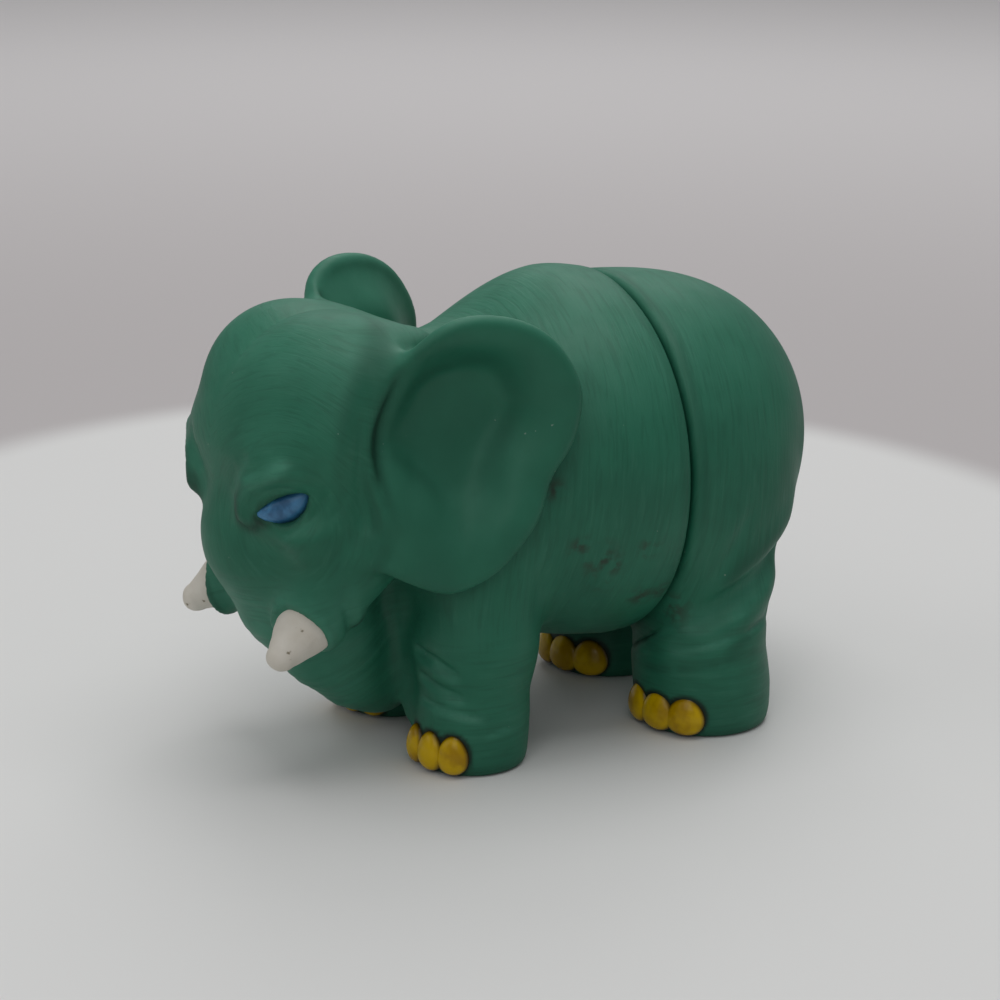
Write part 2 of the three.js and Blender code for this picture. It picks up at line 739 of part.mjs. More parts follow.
const boundShares = { forward: 3.2, back: 1.75, out: 1.4, up: 2.9 };
const bound = (name) => boundShares[name] * barrelRadius;
const below = -2 * skinStep;
const frontFields = frontField();
const upperSkin = skinOf(frontFields.upper,
  bodyPoint(below, -bound('out'), below),
  bodyPoint(bound('forward'), bound('out'), bound('up')));
const trunkSkin = skinOf(frontFields.trunked,
  bodyPoint(headForward - headHalfWidth, -headHalfWidth, below),
  bodyPoint(bound('forward'), headHalfWidth, trunkBreak - 2 * below));
const rearSkin = skinOf(rearField(),
  bodyPoint(-bound('back'), -bound('out'), below),
  bodyPoint(-below, bound('out'), bound('up')));

const ears = [
  earSolid({ side: 1, lean: earLean, setback: 0, inset: 0 }),
  earSolid({ side: -1, lean: rightEarLean, setback: rightEarSetback, inset: rightEarInset }),
];
const halves = {
  front: { direction: 1, mouldings: [solidOf(upperSkin), solidOf(trunkSkin), collarSolid(1), ...ears] },
  rear: { direction: -1, mouldings: [solidOf(rearSkin), collarSolid(-1), tailSolid()] },
};

function halfSolid(name) {
  const { direction, mouldings } = halves[name];
  const plane = direction * seamGap / 2;
  let solid = mouldings.reduce((whole, moulding) => whole.add(moulding));
  const cutters = [
    barrelBeyond(plane, -direction),
    everythingBelowFloor(),
    rimCutter(plane, direction),
    plateRecess(direction),
    ...nails.filter((nail) => nail.half === name).map((nail) => nail.solid(fitGap)),
  ];
  if (name === 'front') {
    for (const side of [1, -1]) {
      cutters.push(tuskSolid(side, fitGap), eyeSolid(side, fitGap, 0), eyeSolid(side, fitGap, lidDepth));
    }
  }
  cutters.forEach((cutter) => {
    solid = solid.subtract(cutter);
  });
  return solid;
}

const elephant = new THREE.Group();
elephant.name = 'toy_elephant';
const frontHalf = new THREE.Group();
const rearHalf = new THREE.Group();
const coupling = new THREE.Group();
elephant.add(frontHalf, rearHalf, coupling);

frontHalf.add(meshOf('front_body', halfSolid('front'), finishes.vinyl));
frontHalf.add(meshOf('front_socket_plate', plateSolid(1), finishes.plug));
for (const [sideName, side] of [['left', 1], ['right', -1]]) {
  frontHalf.add(meshOf(`tusk_${sideName}`, tuskSolid(side, 0), finishes.tusk));
  frontHalf.add(meshOf(`eye_${sideName}`, eyeSolid(side, 0, 0), finishes.eye));
}
rearHalf.add(meshOf('rear_body', halfSolid('rear'), finishes.vinyl));
rearHalf.add(meshOf('rear_socket_plate', plateSolid(-1), finishes.plug));
coupling.add(meshOf('coupling_plug', plugSolid(), finishes.plug));
nails.forEach((nail) => {
  const half = nail.half === 'front' ? frontHalf : rearHalf;
  half.add(meshOf(nail.name, nail.solid(0), finishes.nail));
});

export default elephant;
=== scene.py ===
"""A small standing elephant of soft green vinyl, in a front and a rear half that plug together at the waist.

Places and sizes are worked out in millimetres, as the model maker would, and turned to metres as each
piece is finished. X runs to the head, Y to the elephant's left and Z up from the floor.
"""

import math

import bmesh
import bpy
import numpy as np
from mathutils import Matrix, Vector


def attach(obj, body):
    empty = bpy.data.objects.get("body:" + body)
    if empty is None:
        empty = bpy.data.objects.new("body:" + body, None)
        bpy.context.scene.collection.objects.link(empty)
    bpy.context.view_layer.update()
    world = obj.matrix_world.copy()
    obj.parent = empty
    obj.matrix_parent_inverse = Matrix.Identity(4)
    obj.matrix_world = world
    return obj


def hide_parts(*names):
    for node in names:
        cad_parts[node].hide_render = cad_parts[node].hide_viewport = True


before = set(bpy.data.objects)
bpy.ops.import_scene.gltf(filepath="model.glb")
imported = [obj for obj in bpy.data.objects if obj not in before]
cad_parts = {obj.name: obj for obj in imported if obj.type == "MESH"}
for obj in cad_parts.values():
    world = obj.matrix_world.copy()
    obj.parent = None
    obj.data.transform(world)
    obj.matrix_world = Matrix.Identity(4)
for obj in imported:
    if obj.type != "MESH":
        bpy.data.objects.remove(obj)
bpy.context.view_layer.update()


# The table, the lamps and the camera.
# The toy stands on a plain white table with a pale wall some way behind it, under one soft lamp overhead
# and three weaker ones behind, to its left and in front.

camera_data = bpy.data.cameras.new("camera")
camera_data.sensor_width = 36.0
camera_data.lens = 100.8
camera_data.clip_start = 0.02
camera = bpy.data.objects.new("camera", camera_data)
camera_right = Vector((-0.8684, 0.4955, 0.0167))
camera_up = Vector((-0.1310, -0.2619, 0.9562))
camera_back = Vector((0.4782, 0.8282, 0.2924))
camera_place = Vector((0.16215, 0.27773, 0.12463))
camera_turn = Matrix((camera_right, camera_up, camera_back)).transposed().to_4x4()
camera.matrix_world = Matrix.Translation(camera_place) @ camera_turn
bpy.context.scene.collection.objects.link(camera)
bpy.context.scene.camera = camera


class Recipe:
    """how a finish is mixed, or how a set of pieces is laid out, as a tree of nodes"""

    def __init__(self, tree):
        self.tree = tree

    def fill(self, node, inputs):
        """gives inputs of a node their values, or joins them to other nodes"""
        for name, value in inputs.items():
            if isinstance(value, bpy.types.NodeSocket):
                self.tree.links.new(value, node.inputs[name])
            else:
                node.inputs[name].default_value = value

    def add(self, kind, inputs=None, **settings):
        """one node, set down beside the ones before it"""
        node = self.tree.nodes.new(kind)
        row, column = divmod(len(self.tree.nodes) - 1, 8)
        node.location = (column * 200, row * -350)
        for name, value in settings.items():
            setattr(node, name, value)
        self.fill(node, inputs or {})
        return node

    def sums(self, operation, *terms):
        """a sum, a product or the like"""
        return self.add("ShaderNodeMath", dict(enumerate(terms)), operation=operation).outputs[0]

    def between(self, value, low, high, to_low=0.0, to_high=1.0):
        """a soft step from to_low to to_high while the value goes from low to high"""
        return self.add("ShaderNodeMapRange", {
            "Value": value, "From Min": low, "From Max": high, "To Min": to_low, "To Max": to_high,
        }, interpolation_type="SMOOTHSTEP").outputs["Result"]

    def clouds(self, scale, detail, distortion=0.0, where=None):
        """cloudy patches, over the piece's own places or over others"""
        return self.add("ShaderNodeTexNoise", {
            "Vector": where or self.spot, "Scale": scale, "Detail": detail, "Distortion": distortion,
        }).outputs["Fac"]

    def mixed(self, share, a, b):
        """colour a with a share of colour b"""
        colours = {"Factor": share, "A": a, "B": b}
        return self.add("ShaderNodeMix", colours, data_type="RGBA").outputs["Result"]

    def relief(self, height, strength, distance, **under):
        """fine relief, over other relief if there is any"""
        looks = {"Height": height, "Strength": strength, "Distance": distance, **under}
        return self.add("ShaderNodeBump", looks).outputs["Normal"]


def new_finish(name):
    """an empty finish, with its shader, and the recipe to mix it by"""
    finish = bpy.data.materials.new(name)
    finish.use_nodes = True
    recipe = Recipe(finish.node_tree)
    recipe.tree.nodes.clear()
    recipe.spot = recipe.add("ShaderNodeTexCoord").outputs["Object"]
    shader = recipe.add("ShaderNodeBsdfPrincipled")
    recipe.add("ShaderNodeOutputMaterial", {"Surface": shader.outputs["BSDF"]})
    return finish, recipe, shader


def table_white():
    """white table near the toy, and the warmer wall seen past the table's far edge, painted with shade that
    darkens it towards that edge and pales further off
    """
    finish, recipe, shader = new_finish("table_white")
    lit_middle = (0.0206, 0.0469, 0.0)
    middle = recipe.add("ShaderNodeMapping", {"Vector": recipe.spot, "Location": lit_middle})
    away = recipe.add("ShaderNodeVectorMath", {0: middle.outputs["Vector"]}, operation="LENGTH")
    from_middle = away.outputs["Value"]
    away_from_camera = (-0.5, -0.866, 0.0)
    share_behind = {0: recipe.spot, 1: away_from_camera}
    behind = recipe.add("ShaderNodeVectorMath", share_behind, operation="DOT_PRODUCT").outputs["Value"]
    past_edge = recipe.sums("MULTIPLY", recipe.between(from_middle, 0.090, 0.103),
                            recipe.between(behind, 0.0, 0.03))
    # painted shade: the wall is darker just past the table's edge and paler further off
    far_off = recipe.between(from_middle, 0.10, 0.55)
    wall = recipe.mixed(far_off, (0.47, 0.445, 0.445, 1), (0.72, 0.70, 0.70, 1))
    recipe.fill(shader, {
        "Base Color": recipe.mixed(past_edge, (0.71, 0.71, 0.70, 1), wall),
        "Roughness": 0.6, "Specular IOR Level": 0.25,
    })
    return finish


table_reach = 6
table_corners = [(x * table_reach, y * table_reach, 0) for x, y in ((-1, -1), (1, -1), (1, 1), (-1, 1))]
table_mesh = bpy.data.meshes.new("table")
table_mesh.from_pydata(table_corners, [], [(0, 1, 2, 3)])
table = bpy.data.objects.new("table", table_mesh)
table.data.materials.append(table_white())
bpy.context.scene.collection.objects.link(table)

world = bpy.data.worlds.new("room")
world.use_nodes = True
room_light = world.node_tree.nodes["Background"]
room_light.inputs["Color"].default_value = (0.93, 0.93, 0.95, 1)
room_light.inputs["Strength"].default_value = 0.26
bpy.context.scene.world = world

toy_middle = Vector((0.0, 0.0, 0.03))


def hang_lamp(name, place, across, watts):
    """a square soft lamp at a place, turned to the toy"""
    lamp_data = bpy.data.lights.new(name, "AREA")
    lamp_data.size = across
    lamp_data.energy = watts
    lamp = bpy.data.objects.new(name, lamp_data)
    lamp.location = place
    lamp.rotation_euler = (toy_middle - Vector(place)).to_track_quat("-Z", "Y").to_euler()
    bpy.context.scene.collection.objects.link(lamp)


hang_lamp("lamp_overhead", (-0.05, 0.0, 0.75), 0.6, 2.5)
hang_lamp("lamp_behind", (-0.30, -0.45, 0.55), 0.5, 1.15)
hang_lamp("lamp_left", (0.60, -0.15, 0.45), 0.5, 0.55)
hang_lamp("lamp_front", (0.40, 0.50, 0.50), 0.5, 0.85)


# The rear half: rump, hind legs and tail, in one hollow moulding of soft green vinyl, poured and spun in
# a metal mould. Its open front end is round, with a rounded rim, and takes a stiff plate. Painted shade
# darkens its folds, painted light pales its tops, and handling has paled its rises.

seam_place = -11.6
seam_gap = 0.4
barrel_radius = 21.8
barrel_height = 31.4
barrel_softness = 0.14 * barrel_radius
barrel_middle = np.array([seam_place, 0.0, barrel_height])
rim_softness = 1.5
rim_margin = 2
recess_rim_softness = 0.35
sole_softness = 0.7
plate_radius = 18.6
plate_thickness = 2.4
plate_sink = 0.3
socket_bore = 4.68
socket_wall = 1.8
socket_depth = 13.0
socket_end = 3.0
fit_gap = 0.3

# Shares of the barrel's radius from its axis at the seam
rump_form = ((-0.02, 0, 0), (1.18, 1, 1))
croup_form = ((-0.4, 0, 0.165), (0.77, 0.76, 0.745))
haunch_form = ((-0.325, 0.45, -0.25), (0.54, 0.505, 0.64))

# Height as a share of the barrel's, lean back and in as shares of the foot's, and girth
hind_foot = {"forward": -7.7, "out": 13.3, "radius": 7.8}
hind_leg_form = ((0.57, -0.08, 0.88, 1.1), (0.29, 0.08, 0.985, 0.97), (0.13, 0, 1, 0.99), (0.06, 0, 1, 1.02))
right_feet_in = 4.4
right_feet_back = 0.5
limb_softness = 0.28
haunch_softness = 0.18 * hind_foot["radius"]

# Tail: height above the barrel's axis as a share of its radius, girth, and how deep it is sunk
tail_form = ((0.5, 1, -1.8), (0.34, 1, 0.2), (0.1, 0.9, 1), (-0.16, 0.82, 1), (-0.42, 1.1, 0.8))
tail_radius = 1.5
tail_sunk = 0.5
tail_softness = 0.9

# Folds pressed into the haunch and ankle: their course, half width and depth
haunch_folds = (
    (((-30.5, 12.6, 24.4), (-27.2, 16.4, 21.6), (-23.4, 19.0, 19.4), (-19.6, 20.2, 17.6), (-16.4, 19.6, 15.8),
      (-13.0, 17.8, 13.6)), 1.45, 1.5),
    (((-30.8, 13.4, 28.6), (-27.6, 17.0, 25.4), (-23.6, 20.0, 23.2), (-19.6, 20.9, 21.2), (-16.4, 20.2, 18.8),
      (-13.6, 18.6, 16.2)), 1.9, -0.5),
    (((-28.2, 14.0, 18.6), (-24.2, 18.2, 16.4), (-20.4, 19.6, 14.6), (-17.0, 19.4, 12.8)), 1.3, -0.55),
    (((-26.4, 16.6, 14.6), (-22.4, 19.0, 13.2), (-19.0, 19.8, 11.2), (-16.6, 19.6, 9.8)), 0.8, 0.3),
    (((-20.5, 21.3, 29.3), (-17.9, 21.3, 24.1), (-14.8, 19.5, 17.6), (-12.6, 17.6, 13.6)), 0.9, 0.3),
    (((-10.6, 12.4, 9.6), (-12.8, 18.1, 10.9), (-16.9, 20.6, 12.2), (-22.7, 19.7, 13.0), (-27.0, 15.0, 12.6)),
     0.55, 0.26),
    (((-10.8, 12.4, 7.9), (-12.6, 17.6, 8.6), (-17.0, 20.4, 9.6), (-22.7, 19.6, 10.4)), 0.45, 0.2),
    (((-11.0, 14.6, 12.6), (-14.7, 19.4, 14.1), (-19.0, 20.4, 15.0), (-23.0, 19.6, 15.6)), 0.5, 0.22),
)


def length_of(arrows):
    """lengths of many arrows at once"""
    return np.sqrt(np.einsum("ij,ij->i", arrows, arrows))


def pressed_together(softness, *forms):
    """joins forms of wax, with the corner between them filled softly"""
    whole = forms[0]
    for form in forms[1:]:
        near = np.maximum(softness - np.abs(whole - form), 0) / softness
        whole = np.minimum(whole, form) - near * near * softness / 4
    return whole


def cut_away(softness, form, cutter):
    """takes a cutter's shape out of a form, with the edge it leaves rounded"""
    return -pressed_together(softness, -form, cutter)


def lump(at, middle, radii):
    """an egg-shaped lump"""
    away = (at - np.asarray(middle, np.float32)) / np.asarray(radii, np.float32)
    reach = length_of(away)
    slope = length_of(away / np.asarray(radii, np.float32))
    return reach * (reach - 1) / np.maximum(slope, 1e-9)


def roll(at, start, end, start_radius, end_radius):
    """a round roll that changes its radius from one end to the other"""
    start = np.asarray(start, np.float32)
    run = np.asarray(end, np.float32) - start
    away = at - start
    share = np.clip(away @ run / float(run @ run), 0, 1)
    return length_of(away - share[:, None] * run) - (start_radius + (end_radius - start_radius) * share)


def rolls(at, stations, softness):
    """rolls laid end to end through stations of place and radius"""
    laid = [roll(at, a, b, p, q) for (a, p), (b, q) in zip(stations, stations[1:])]
    return pressed_together(softness, *laid)


def both_sides(at):
    """folds the right side over the left, for what is the same on both"""
    folded = at.copy()
    folded[:, 1] = np.abs(folded[:, 1])
    return folded


def from_course(at, course):
    """distance from a line through several places, and how far along it the nearer end is"""
    nearest = np.full(len(at), 1e3, np.float32)
    passed = np.zeros(len(at), np.float32)
    length = 0.0
    for start, end in zip(course, course[1:]):
        start = np.asarray(start, np.float32)
        run = np.asarray(end, np.float32) - start
        away = at - start
        share = np.clip(away @ run / float(run @ run), 0, 1)
        off = length_of(away - share[:, None] * run)
        step_length = math.sqrt(float(run @ run))
        passed = np.where(off < nearest, length + share * step_length, passed)
        nearest = np.minimum(nearest, off)
        length += step_length
    return nearest, np.minimum(passed, length - passed)


# How far from its ends a fold reaches its full depth, in shares of its half width
fold_run_out = 3.5


def folds_pressed_in(at, folds):
    """how deep the folds at each place go; a fold runs out softly at both ends"""
    depth = np.zeros(len(at), np.float32)
    for course, half_width, deepest in folds:
        near, to_end = from_course(at, course)
        depth += deepest * smoothly(to_end, 0, fold_run_out * half_width) * np.exp(-(near / half_width) ** 2)
    return depth


def on_barrel(shares):
    """a place given in shares of the barrel's radius"""
    return barrel_middle + np.array(shares) * barrel_radius


def barrel_lump(at, form):
    """an egg-shaped lump, its place and radii given in shares of the barrel's radius"""
    return lump(at, on_barrel(form[0]), np.array(form[1]) * barrel_radius)


def leg_stations(leg_form, foot, side):
    """where a leg's rolls run from and to; the right feet stand further in and back"""
    stations = []
    for up, back, out, girth in leg_form:
        shift = 1 - up if side < 0 else 0
        forward = seam_place + foot["forward"] + back * foot["radius"] - shift * right_feet_back
        across = side * (foot["out"] * out - shift * right_feet_in)
        stations.append(((forward, across, up * barrel_height), foot["radius"] * girth))
    return stations


def legs_of(at, leg_form, foot):
    """the left and the right leg of a half"""
    return [rolls(at, leg_stations(leg_form, foot, side), foot["radius"] * limb_softness) for side in (1, -1)]


def around_axis(at):
    """distance forward of the seam, and distance from the barrel's axis"""
    return at[:, 0] - seam_place, np.hypot(at[:, 1], at[:, 2] - barrel_height)


def plate_recess(at, direction):
    """the round recess for a plate and its socket, open at the seam"""
    forward, out = around_axis(at)
    deep = direction * forward - seam_gap / 2 - plate_sink
    disc = np.maximum(out - plate_radius - fit_gap, deep - plate_thickness - fit_gap)
    tube = np.maximum(out - socket_bore - socket_wall - fit_gap, deep - socket_depth - socket_end)
    return np.minimum(disc, tube)


def cut_at_seam(at, form, direction):
    """one half's flat round end at the waist, with a rounded rim, then the recess in it"""
    forward, out = around_axis(at)
    beyond = seam_gap / 2 - direction * forward
    past_rim = out - barrel_radius - rim_margin
    beyond = np.where(past_rim < 0, beyond, np.minimum(beyond, -past_rim))
    halved = -pressed_together(rim_softness, -form, -beyond)
    return cut_away(recess_rim_softness, halved, plate_recess(at, direction))


def stood_on_floor(at, form):
    """soles pressed flat on the floor"""
    return -pressed_together(sole_softness, -form, at[:, 2])


def tail_stations():
    """where the tail's rolls run from and to, down the back of the rump"""
    behind = [(on_barrel(m), np.array(r) * barrel_radius) for m, r in (rump_form, croup_form)]
    stations = []
    for up, girth, sunk in tail_form:
        height = barrel_height + up * barrel_radius
        back = min(m[0] - r[0] * math.sqrt(max(1 - ((height - m[2]) / r[2]) ** 2, 0)) for m, r in behind)
        stations.append(((back - sunk * tail_sunk, 0, height), girth * tail_radius))
    return stations


def rear_wax(at):
    """how far each place lies outside the rear half, with negative values inside it"""
    at = at.astype(np.float32)
    folded = both_sides(at)
    rump, croup = [barrel_lump(at, form) for form in (rump_form, croup_form)]
    wax = pressed_together(barrel_softness, rump, croup, barrel_lump(folded, haunch_form))
    wax = pressed_together(haunch_softness, wax, *legs_of(at, hind_leg_form, hind_foot))
    wax = pressed_together(tail_softness, wax, rolls(at, tail_stations(), tail_sunk))
    wax = wax + folds_pressed_in(folded, haunch_folds)
    wax = stood_on_floor(at, wax)
    return cut_at_seam(at, wax, -1)


def in_batches(form, at, batch=60000):
    """works a form out a batch of places at a time"""
    return np.concatenate([form(at[n:n + batch]) for n in range(0, len(at), batch)])


def fill_grid_corners(wax):
    """fills one corner where the inside meets itself only across a grid face, so that every edge of
    the skin has two faces"""
    for _ in range(8):
        inside = wax < 0
        touched = False
        for axis in range(3):
            u, v = (axis + 1) % 3, (axis + 2) % 3

            def shifted(du, dv):
                """the grid, moved by one place or none each way across the axis"""
                cut = [slice(None)] * 3
                cut[u] = slice(du, inside.shape[u] - 1 + du)
                cut[v] = slice(dv, inside.shape[v] - 1 + dv)
                return inside[tuple(cut)]

            a, b, c, d = shifted(0, 0), shifted(1, 0), shifted(1, 1), shifted(0, 1)
            for place in np.argwhere((a == c) & (b == d) & (a != b)):
                corners = []
                for du, dv in ((0, 0), (1, 0), (1, 1), (0, 1)):
                    corner = place.copy()
                    corner[u] += du
                    corner[v] += dv
                    corners.append(tuple(corner))
                pair = corners[1::2] if inside[corners[0]] else corners[::2]
                wax[min(pair, key=lambda corner: wax[corner])] = -1e-4
                touched = True
        if not touched:
            return


def skin_of(form, low, high, step):
    """the skin of a form of wax, as points and four-sided faces that look outwards. A coarse grid finds
    where the skin runs, and the fine one is worked out only there."""
    coarse = 4
    near_reach = 2.2
    corners = list(np.ndindex(2, 2, 2))
    low = np.floor(np.asarray(low) / step) * step
    cells = np.ceil((np.asarray(high) - low) / (step * coarse)).astype(int)
    axes = [low[n] + np.arange(cells[n] + 1) * step * coarse for n in range(3)]
    places = np.stack(np.meshgrid(*axes, indexing="ij"), -1)
    rough = in_batches(form, places.reshape(-1, 3)).reshape(places.shape[:3])
    near = np.abs(rough) < step * coarse * near_reach
    block = near[:-1, :-1, :-1].copy()
    for i, j, k in corners:
        block |= near[i:i + cells[0], j:j + cells[1], k:k + cells[2]]
    shape = cells * coarse
    fine_near, wax = [grid.repeat(coarse, 0).repeat(coarse, 1).repeat(coarse, 2)
                      for grid in (block, rough[:-1, :-1, :-1].astype(np.float32))]
    spots = np.argwhere(fine_near)
    wax[fine_near] = in_batches(form, low + spots * step)
    for axis in range(3):
        for face in (0, -1):
            cut = [slice(None)] * 3
            cut[axis] = face
            wax[tuple(cut)] = np.maximum(wax[tuple(cut)], step / 2)
    fill_grid_corners(wax)
    inside = wax < 0
    last = shape - 1
    count = np.zeros(tuple(last), np.int8)
    for i, j, k in corners:
        count += inside[i:i + last[0], j:j + last[1], k:k + last[2]]
    crossed = (count > 0) & (count < 8)
    cell = np.argwhere(crossed)
    number = np.full(tuple(last), -1, np.int32)
    number[crossed] = np.arange(len(cell))
    total = np.zeros((len(cell), 3))
    hits = np.zeros(len(cell))
    for n, a in enumerate(corners):
        for b in corners[n + 1:]:
            if sum(abs(p - q) for p, q in zip(a, b)) != 1:
                continue
            here, there = wax[tuple((cell + a).T)], wax[tuple((cell + b).T)]
            across = (here < 0) != (there < 0)
            share = np.where(across, here / np.where(across, here - there, 1), 0)
            total += (np.array(a) + share[:, None] * (np.array(b) - np.array(a))) * across[:, None]
            hits += across
    points = (cell + total / hits[:, None]) * step + low
    faces = []
    for axis in range(3):
        u, v = (axis + 1) % 3, (axis + 2) % 3
        ahead = [0, 0, 0]
        ahead[axis] = 1
        before = inside[:shape[0] - ahead[0], :shape[1] - ahead[1], :shape[2] - ahead[2]]
        after = inside[ahead[0]:, ahead[1]:, ahead[2]:]
        edge = np.argwhere(before != after)
        edge = edge[(edge[:, u] > 0) & (edge[:, v] > 0) & (edge[:, u] < last[u]) & (edge[:, v] < last[v])]
        leaves = before[tuple(edge.T)]
        ring = []
        for du, dv in ((0, 0), (1, 0), (1, 1), (0, 1)):
            beside = edge.copy()
            beside[:, u] -= du
            beside[:, v] -= dv
            ring.append(number[tuple(beside.T)])
        ring = np.stack(ring, 1)
        faces.append(np.where(leaves[:, None], ring, ring[:, ::-1]))
    return points, np.concatenate(faces)


def slopes_of(form, points, reach=0.12):
    """the outward direction of a form at points near its skin, and the form there"""
    here = in_batches(form, points)
    slope = np.stack([in_batches(form, points + reach * np.eye(3)[n]) - here for n in range(3)], 1) / reach
    size = np.maximum(length_of(slope), 1e-6)[:, None]
    return slope / size, here / np.maximum(size[:, 0], 0.3)


def smooth_onto(form, points, step):
    """moves the skin's points onto the form itself, by less than a step"""
    for _ in range(2):
        outward, off = slopes_of(form, points)
        points = points - outward * np.clip(off, -step / 2, step / 2)[:, None]
    return points


def vinyl_mesh(name, points, faces):
    """a mesh in metres from points in millimetres"""
    mesh = bpy.data.meshes.new(name)
    mesh.vertices.add(len(points))
    mesh.vertices.foreach_set("co", (points / 1000).astype(np.float32).ravel())
    sides = faces.shape[1]
    mesh.loops.add(faces.size)
    mesh.loops.foreach_set("vertex_index", faces.ravel().astype(np.int32))
    mesh.polygons.add(len(faces))
    mesh.polygons.foreach_set("loop_start", np.arange(len(faces), dtype=np.int32) * sides)
    mesh.update(calc_edges=True)
    mesh.validate()
    mesh.polygons.foreach_set("use_smooth", np.ones(len(mesh.polygons), bool))
    return mesh


def add_piece(name, mesh, finish):
    """puts a finished mesh in the scene as a piece"""
    piece = bpy.data.objects.new(name, mesh)
    mesh.materials.clear()
    mesh.materials.append(finish)
    bpy.context.scene.collection.objects.link(piece)
    return piece


def neighbours_mean(mesh, values):
    """each point's neighbours' mean value"""
    edges = np.zeros(len(mesh.edges) * 2, np.int32)
    mesh.edges.foreach_get("vertices", edges)
    a, b = edges[::2], edges[1::2]
    size = len(mesh.vertices)
    total = np.bincount(a, values[b], size) + np.bincount(b, values[a], size)
    neighbours = np.bincount(a, minlength=size) + np.bincount(b, minlength=size)
    return total / np.maximum(neighbours, 1)


def worn_share(mesh, points, form, reach):
    """how far each point stands out of its surroundings: above zero on rises and below it in hollows"""
    outward, _ = slopes_of(form, points)
    rise = in_batches(form, points + outward * reach) - reach
    sunk = in_batches(form, points - outward * reach) + reach
    values = -(rise + sunk) / reach
    for _ in range(3):
        values = 0.5 * values + 0.5 * neighbours_mean(mesh, values)
    return values, outward


def keep_values(mesh, name, values):
    """keeps a value at each point of a mesh, for its finish to read"""
    kept = mesh.attributes.new(name, "FLOAT" if values.ndim == 1 else "FLOAT_VECTOR", "POINT")
    kept.data.foreach_set("value" if values.ndim == 1 else "vector", values.astype(np.float32).ravel())


vinyl_step = 0.36


def smoothly(value, low, high):
    """0 below low, 1 above high and a soft change between them"""
    share = np.clip((value - low) / (high - low), 0, 1)
    return share * share * (3 - 2 * share)


def barrel_strokes(points):
    """the way the modelling tool's fine strokes run round the barrel: across, along and into it"""
    up = points[:, 2] - barrel_height
    turn = np.arctan2(points[:, 1], up)
    lean = points[:, 0] + 0.10 * up
    stroke_width = 0.45
    strokes_round = 4
    stroke_depth = 8
    return np.stack([lean / stroke_width, turn * strokes_round, np.hypot(points[:, 1], up) / stroke_depth], 1)


def leg_strokes(points):
    """the strokes that run round the legs"""
    stroke_length = 6
    stroke_width = 0.6
    leaning = points[:, 2] + points[:, 0] * 0.05
    return np.stack([points[:, 0] / stroke_length, points[:, 1] / stroke_length, leaning / stroke_width], 1)


def green_vinyl():
    """soft green vinyl: satin, a little see-through, stroked, with painted light on its tops and painted
    shade in its folds
    """
    finish, recipe, shader = new_finish("green_vinyl")
    clouds, between, sums = recipe.clouds, recipe.between, recipe.sums

    def kept(name, kind="Fac"):
        """a value kept at the points of the skin"""
        return recipe.add("ShaderNodeAttribute", attribute_name=name).outputs[kind]

    runs = [clouds(1.0, 3.0, 0.6, kept(f"strokes_{place}", "Vector")) for place in ("barrel", "head", "limb")]
    runs = recipe.add("ShaderNodeCombineXYZ", {n: sums("SUBTRACT", run, 0.5) for n, run in enumerate(runs)})
    strokes = recipe.add("ShaderNodeVectorMath", {
        0: runs.outputs["Vector"], 1: kept("strokes_share", "Vector"),
    }, operation="DOT_PRODUCT").outputs["Value"]

    hollow = kept("hollow")
    colour = (0.011, 0.112, 0.064, 1)
    for share, coat in (
        # the vinyl itself is a little mottled
        (between(clouds(70.0, 4.0), 0.35, 0.65), (0.015, 0.140, 0.080, 1)),
        # handling has paled what stands out, and painted light pales what looks up,
        # the brow, the trunk and the far ear
        (sums("MULTIPLY", kept("wear_and_painted_sheen"), between(clouds(260.0, 3.0), 0.25, 0.75, 0.55)),
         (0.040, 0.195, 0.125, 1)),
        # the strokes hold a little dirt, and shine between it
        (between(strokes, -0.16, 0.0, 0.20, 0.0), (0.006, 0.060, 0.034, 1)),
        (between(strokes, 0.04, 0.2, 0.0, 0.16), (0.050, 0.200, 0.130, 1)),
        # folds and hollows are darker with painted shade
        (hollow, (0.003, 0.036, 0.020, 1)),
        # a dark green line round nails and eyes: paint crept past their edges, and painted shade in the
        # crevices round the nails and in the eye's sunk inner corner
        (kept("paint_and_shade_line"), (0.002, 0.014, 0.007, 1)),
        # specks of grime on the flank
        (sums("MULTIPLY", kept("grime"), between(clouds(620.0, 3.0), 0.42, 0.60, 0.0, 0.85)),
         (0.022, 0.028, 0.018, 1)),
        # single pale specks of dust
        (between(clouds(1500.0, 1.0), 0.80, 0.84, 0.0, 0.45), (0.30, 0.38, 0.33, 1)),
    ):
        colour = recipe.mixed(share, colour, coat)

    gloss = between(clouds(120.0, 3.0), 0.3, 0.7, 0.46, 0.58)
    stroke_relief = recipe.relief(strokes, 0.50, 0.00011)
    recipe.fill(shader, {
        "Base Color": colour,
        "Roughness": sums("ADD", gloss, sums("MULTIPLY", hollow, 0.15)),
        "Specular IOR Level": 0.30,
        "Subsurface Weight": 0.12, "Subsurface Radius": (0.35, 1.0, 0.6), "Subsurface Scale": 0.0012,
        "Normal": recipe.relief(clouds(1400.0, 3.0), 0.35, 0.00004, Normal=stroke_relief),
    })
    return finish


vinyl = green_vinyl()

# Three toenails stand round the front of each foot, and all four feet turn a little to the left
nail_depth, nail_width, nail_height = 2.6, 3.85, 4.8
nail_stand = 0.2
nail_rise = 0.3
nail_middle_height = nail_rise + 2.35
nail_foot_radius = 6.25
# how far the dark line round the nails reaches: crept paint and painted shade
nail_line_reach = (0.1, 0.6)
nail_step = math.radians(26)
nail_turn = math.radians(17)


def nail_size(foot):
    """a toenail's depth, width and height; the hind feet are larger, and so their nails are wider"""
    return np.array([nail_depth, nail_width * foot["radius"] / nail_foot_radius, nail_height])


